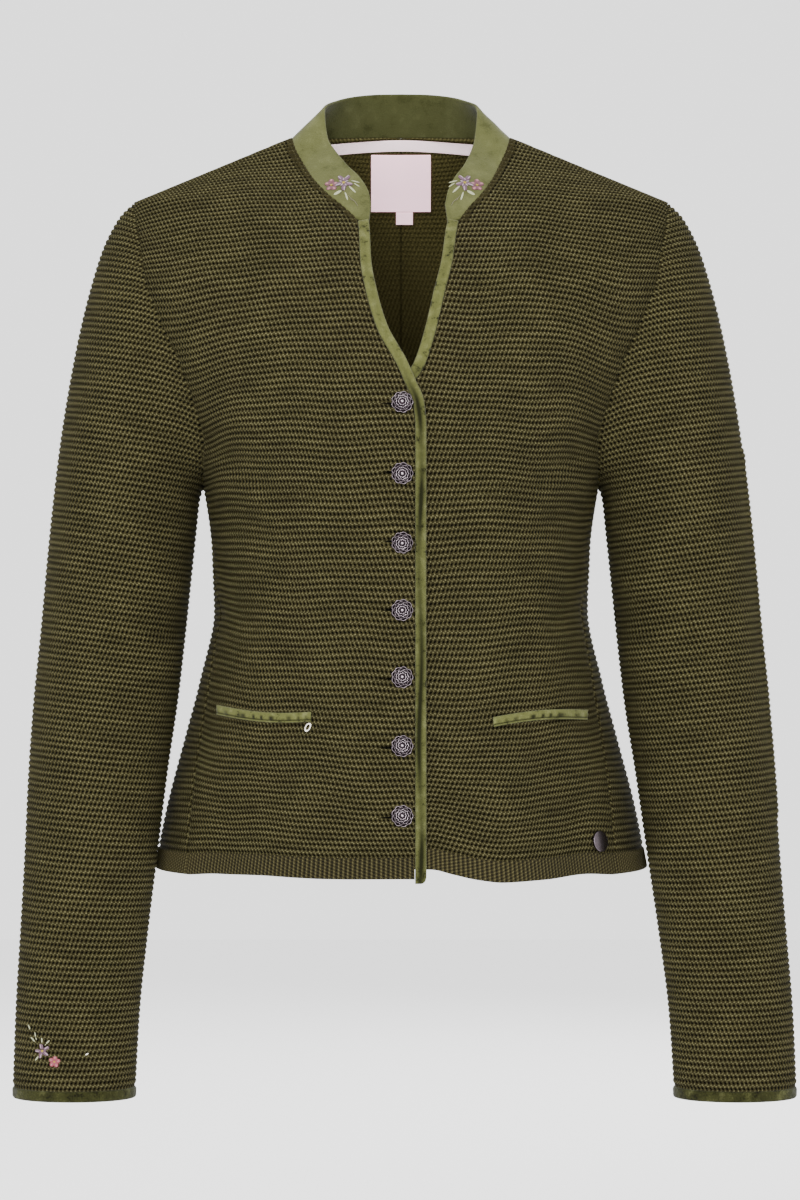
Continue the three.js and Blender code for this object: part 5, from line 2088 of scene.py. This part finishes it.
def ring_of_petals(
    x: float, z: float, reach: float, length: float, width: float, thread: Thread, turn: float
) -> tuple[Petal, ...]:
    """Five petals round a centre, the first at a turn in degrees."""
    angles = [math.radians(turn + 360 * k / 5) for k in range(5)]
    return tuple(
        Petal(x + reach * math.cos(a), z + reach * math.sin(a), math.degrees(a), length, width, thread)
        for a in angles
    )


COLLAR_MOTIF = (
    Petal(-34.2, -39.0, -46, 8.4, 0.6, Thread.STEM),
    Petal(-36.2, -37.4, -60, 7.0, 0.5, Thread.STEM),
    Petal(-31.6, -42.0, -62, 4.0, 0.5, Thread.STEM),
    Petal(-45.0, -33.8, 42, 6.6, 2.6, Thread.LEAF),
    Petal(-38.8, -36.2, -70, 8.8, 1.4, Thread.LEAF),
    Petal(-34.6, -31.4, -50, 9.0, 1.5, Thread.LEAF),
    Petal(-32.4, -26.0, -20, 6.8, 1.0, Thread.LEAF),
    Petal(-31.4, -28.4, -40, 6.0, 0.9, Thread.LEAF),
    *ring_of_petals(-49.4, -28.4, 2.6, 4.7, 4.2, Thread.ROSE, 20),
    *ring_of_petals(-49.4, -28.4, 3.0, 3.2, 2.4, Thread.BLUSH, 20),
    Petal(-49.4, -28.4, 0, 2.0, 1.8, Thread.YOLK),
    *ring_of_petals(-40.6, -26.6, 3.5, 6.6, 3.4, Thread.LILAC, 54),
    *ring_of_petals(-40.6, -26.6, 4.0, 5.2, 1.0, Thread.PALE, 60),
    *ring_of_petals(-40.6, -26.6, 2.2, 2.6, 0.8, Thread.PALE, 90),
    Petal(-40.6, -26.8, 0, 2.5, 2.2, Thread.YOLK),
)
MOTIF_SHIFT = 4.6

CUFF_MOTIF = (
    Petal(-264.1, -625.8, -60, 6.0, 1.1, Thread.LEAF),
    Petal(-261.6, -634.6, -42, 6.0, 1.2, Thread.LEAF),
    Petal(-259.4, -632.6, -72, 5.8, 1.1, Thread.LEAF),
    Petal(-255.0, -635.2, -86, 5.4, 1.1, Thread.LEAF),
    Petal(-251.2, -637.4, 46, 5.2, 1.2, Thread.LEAF),
    Petal(-258.6, -648.6, 52, 4.6, 1.3, Thread.LEAF),
    *ring_of_petals(-254.6, -643.2, 2.9, 5.4, 2.8, Thread.LILAC, 30),
    *ring_of_petals(-254.6, -643.2, 3.3, 4.2, 0.9, Thread.PALE, 38),
    Petal(-254.6, -643.2, 0, 2.0, 1.8, Thread.YOLK),
    *ring_of_petals(-246.0, -650.8, 2.3, 3.9, 3.3, Thread.MADDER, 10),
    *ring_of_petals(-246.0, -650.8, 2.7, 2.5, 1.6, Thread.BLUSH, 10),
    Petal(-246.0, -650.8, 0, 1.5, 1.4, Thread.YOLK),
    Petal(-223.0, -645.4, 30, 2.4, 0.9, Thread.CREAM),
)


@dataclass(frozen=True)
class Embroidery:
    """A spray of satin-stitched flowers as one piece."""

    name: str
    petals: tuple[Petal, ...]
    mirrored: bool = False
    shift: float = 0.0
    rise: float = 0.42

    def build(self, ground: Ground, threads: dict[Thread, Material]) -> Thing:
        """The spray on its ground.

        Args:
            ground: the surface it is sewn on.
            threads: material of each thread.

        Returns:
            The spray.
        """
        bm = bmesh.new()
        order = list(dict.fromkeys(petal.thread for petal in self.petals))
        flip = -1 if self.mirrored else 1
        for level, petal in enumerate(self.petals):
            start = len(bm.faces)
            place = ground.frame(flip * petal.x + self.shift, petal.z, 0.05 + 0.012 * level)
            heading = 180 - petal.heading if self.mirrored else petal.heading
            size = Matrix.Diagonal((petal.length / 2 * MM, petal.width / 2 * MM, self.rise * MM, 1))
            matrix = place @ Matrix.Rotation(math.radians(heading), 4, "Z") @ size
            bmesh.ops.create_uvsphere(bm, u_segments=14, v_segments=8, radius=1, matrix=matrix)
            bm.faces.ensure_lookup_table()
            for face in bm.faces[start:]:
                face.material_index = order.index(petal.thread)
        mesh = mesh_of(bm, self.name)
        for thread in order:
            mesh.materials.append(threads[thread])
        return new_object(self.name, mesh)


def add_wire(bm: BMesh, ring: WireRing, around: int = 90, section: int = 6) -> list[bmesh.types.BMVert]:
    """Adds a closed waving wire and returns its vertices."""
    made = bmesh.ops.create_grid(bm, x_segments=around, y_segments=section, size=1)["verts"]
    for vertex in made:
        a = math.pi * (vertex.co.x + 1)
        b = math.pi * (vertex.co.y + 1)
        wave = math.cos(ring.lobes * a + ring.phase)
        radius = ring.radius + ring.wave * abs(wave) ** 0.6 * math.copysign(1, wave) + ring.wire * math.cos(b)
        height = ring.height + ring.lift * wave + ring.wire * math.sin(b)
        vertex.co = Vector((radius * math.cos(a), radius * math.sin(a), height)) * MM
    bmesh.ops.remove_doubles(bm, verts=made, dist=1e-6)
    kept = [vertex for vertex in made if vertex.is_valid]
    bmesh.ops.recalc_face_normals(bm, faces=list({face for vertex in kept for face in vertex.link_faces}))
    return kept


@dataclass(frozen=True)
class RingStitch:
    """A small loop of cream thread by the right pocket."""

    x: float = -62.4
    z: float = -409.8
    lean: float = -28.0

    def build(self, form: BodyForm, lap: Lap, thread: Material) -> Thing:
        """The loop as an object."""
        bm = bmesh.new()
        made = add_wire(bm, WireRing(2.35, 0.0, 1, 0.5, 0.55), 28)
        shape = Matrix.Rotation(math.radians(self.lean), 4, "Z") @ Matrix.Diagonal((0.68, 1.15, 1, 1))
        matrix = place_frame(form, lap, self.x, self.z, 0.2) @ shape
        bmesh.ops.transform(bm, matrix=matrix, verts=made)
        mesh = mesh_of(bm, "ring_stitch")
        mesh.materials.append(thread)
        return new_object("ring_stitch", mesh)


# Light, floor and camera


@dataclass(frozen=True)
class AreaLight:
    """A soft box that faces the cardigan."""

    name: str
    place: tuple[float, float, float]
    size: float
    watts: float

    def build(self, target: Vector) -> None:
        """Adds the light."""
        data = bpy.data.lights.new(self.name, "AREA")
        data.size = self.size
        data.energy = self.watts
        lamp = bpy.data.objects.new(self.name, data)
        lamp.location = self.place
        lamp.rotation_euler = (target - Vector(self.place)).to_track_quat("-Z", "Y").to_euler()
        bpy.context.scene.collection.objects.link(lamp)


@dataclass(frozen=True)
class Studio:
    """Camera at the photograph's viewing angle, soft lights, and a pale floor."""

    camera_metres: tuple[float, float, float] = (-0.0007, -2.5, -0.323)
    frame_height_metres: float = 0.852
    floor_z_metres: float = -0.95
    backdrop: str = "ffffff"
    backdrop_strength: float = 2.0
    lights: tuple[AreaLight, ...] = (
        AreaLight("key", (-0.8, -1.9, 0.9), 0.9, 54.0),
        AreaLight("fill", (1.4, -1.9, 0.3), 1.4, 18.0),
        AreaLight("front", (0.1, -2.7, -0.1), 1.2, 50.0),
        AreaLight("top", (0.0, 0.2, 1.6), 1.6, 14.0),
        AreaLight("back", (0.7, 2.3, 0.7), 1.6, 50.0),
    )

    def build(self) -> None:
        """Adds the camera, the lights, the world and the floor."""
        data = bpy.data.cameras.new("camera")
        data.sensor_fit = "VERTICAL"
        data.lens_unit = "FOV"
        data.angle = 2 * math.atan(self.frame_height_metres / 2 / abs(self.camera_metres[1]))
        camera = bpy.data.objects.new("camera", data)
        camera.location = self.camera_metres
        camera.rotation_euler = (math.radians(90), 0, 0)
        bpy.context.scene.collection.objects.link(camera)
        bpy.context.scene.camera = camera
        target = Vector((0, 0, -0.3))
        for light in self.lights:
            light.build(target)
        world = bpy.data.worlds.new("studio")
        bpy.context.scene.world = world
        world.use_nodes = True
        background = world.node_tree.nodes["Background"]
        background.inputs["Color"].default_value = linear(self.backdrop)
        background.inputs["Strength"].default_value = self.backdrop_strength
        self._floor()

    def _floor(self) -> None:
        """Adds the floor, which is not part of the object."""
        bm = bmesh.new()
        at = Matrix.Translation((0, 0, self.floor_z_metres))
        bmesh.ops.create_grid(bm, x_segments=1, y_segments=1, size=4, matrix=at)
        mesh = mesh_of(bm, "floor")
        floor = bpy.data.objects.new("floor", mesh)
        mesh.materials.append(Nodes("floor").finish(Base_Color=linear("f4f4f4"), Roughness=0.9))
        bpy.context.scene.collection.objects.link(floor)


class Cardigan:
    """Builds and dresses every piece."""

    def __init__(self) -> None:
        """Sets up the form and the finishes."""
        self.form = BodyForm()
        self.lap = Lap()
        self.shape = KnitShape()
        self.finishes = Finishes()

    def knit(self) -> None:
        """The three panels and the two sleeves."""
        panels = KnitPanels(self.form, self.lap, self.shape)
        knit = self.finishes.knit
        for side in Side:
            front = dress(panels.front(side), knit, Slot.KNIT, f"front_{side.word}")
            cloth = Sleeve(self.form, side, self.shape)
            sleeve = dress(cloth.build(), knit, Slot.KNIT, f"sleeve_{side.word}")
            name = f"cuff_binding_{side.word}"
            binding = dress(CuffBinding().build(cloth.surface), self.finishes.cuff, Slot.VELVET, name)
        back = dress(panels.back(), knit, Slot.KNIT, "back")

    def hem(self) -> None:
        """The ribbed bands."""
        mid = HEM + HEM_BAND / 2
        seam = float(SIDE_SEAM.curve("turn")(mid))
        edge = float(self.form.turn_at(-9, mid))
        runs = {
            "hem_band_right": (-edge, 0.15 - seam, Side.RIGHT),
            "hem_band_left": (edge, seam - 0.15, Side.LEFT),
            "hem_band_back": (seam + 0.15, 360 - seam - 0.15, None),
        }
        for name, (start, end, side) in runs.items():
            band = HemBand().build(self.form, self.lap, name, start, end, side)
            dress(band, self.finishes.rib, Slot.RIB, name)

    def trims(self) -> None:
        """Collar, bindings, welts, tape, label and tab."""
        velvet = self.finishes.binding
        collar = dress(Collar().build(self.form), self.finishes.collar, Slot.VELVET, "collar")
        for side in Side:
            name = f"binding_{side.word}"
            strip = dress(EdgeBinding().build(self.form, self.lap, side), velvet, Slot.VELVET, name)
            name = f"pocket_welt_{side.word}"
            welt = dress(PocketWelt().build(self.form, self.lap, side), velvet, Slot.VELVET, name)
        tape = dress(NeckTape().build(self.form), self.finishes.tape, Slot.TAPE, "neck_tape")
        label = InnerPatch("neck_label", 44, 37, 0, 1.5, 0.5, 1.7)
        tab = InnerPatch("size_tab", 12.4, 9, 2.6, 1.5 - 37 - 0.34, 1.7, 1.7)
        for patch, flat in ((label, (0.044, 0.047)), (tab, (0.0125, 0.0115))):
            thing = dress(patch.build(self.form), self.finishes.label, Slot.LABEL, patch.name)

    def stitches(self) -> None:
        """Embroidery and the loop of thread."""
        points, normal, _, _ = Collar().middle(self.form)
        ground = Ground(points + normal * Collar.thickness / 2, normal)
        threads = self.finishes.threads
        cloth = SleeveForm(self.form, Side.RIGHT)
        angle, ring = np.meshgrid(np.linspace(0.2, 2.9, 50), np.linspace(13, 11.4, 60))
        cuff = Ground(cloth.point(angle, ring), cloth.normal(angle, ring))
        sprays = (
            (Embroidery("embroidery_collar_right", COLLAR_MOTIF), ground, Slot.VELVET),
            (Embroidery("embroidery_collar_left", COLLAR_MOTIF, True, MOTIF_SHIFT), ground, Slot.VELVET),
            (Embroidery("embroidery_cuff", CUFF_MOTIF), cuff, Slot.KNIT),
        )
        for spray, under, slot in sprays:
            dress(spray.build(under, threads), threads[Thread.ROSE], slot)
        loop = RingStitch().build(self.form, self.lap, threads[Thread.CREAM])
        dress(loop, threads[Thread.CREAM], Slot.KNIT)

    def metal(self) -> None:
        """Buttons and badge."""
        finishes = self.finishes
        shape = FiligreeButton().mesh((finishes.silver, finishes.shadowed_silver, finishes.polished_and_highlit_silver))
        for k in range(BUTTONS.count):
            mesh = shape.copy()
            mesh.transform(place_frame(self.form, self.lap, BUTTONS.x, BUTTONS.height(k), 0.34))
            name = f"button_{k + 1}"
            dress(new_object(name, mesh), self.finishes.silver, Slot.SILVER, name)
        dress(Badge().build(self.form, self.lap), self.finishes.silver, Slot.SILVER, "hem_badge")

    def build(self) -> None:
        """All pieces in order."""
        self.knit()
        self.hem()
        self.trims()
        self.stitches()
        self.metal()


def main() -> None:
    """Builds the cardigan and its studio."""
    logging.basicConfig(level=logging.INFO, format="%(message)s")
    Cardigan().build()
    Studio().build()


if __name__ == "__main__":
    main()
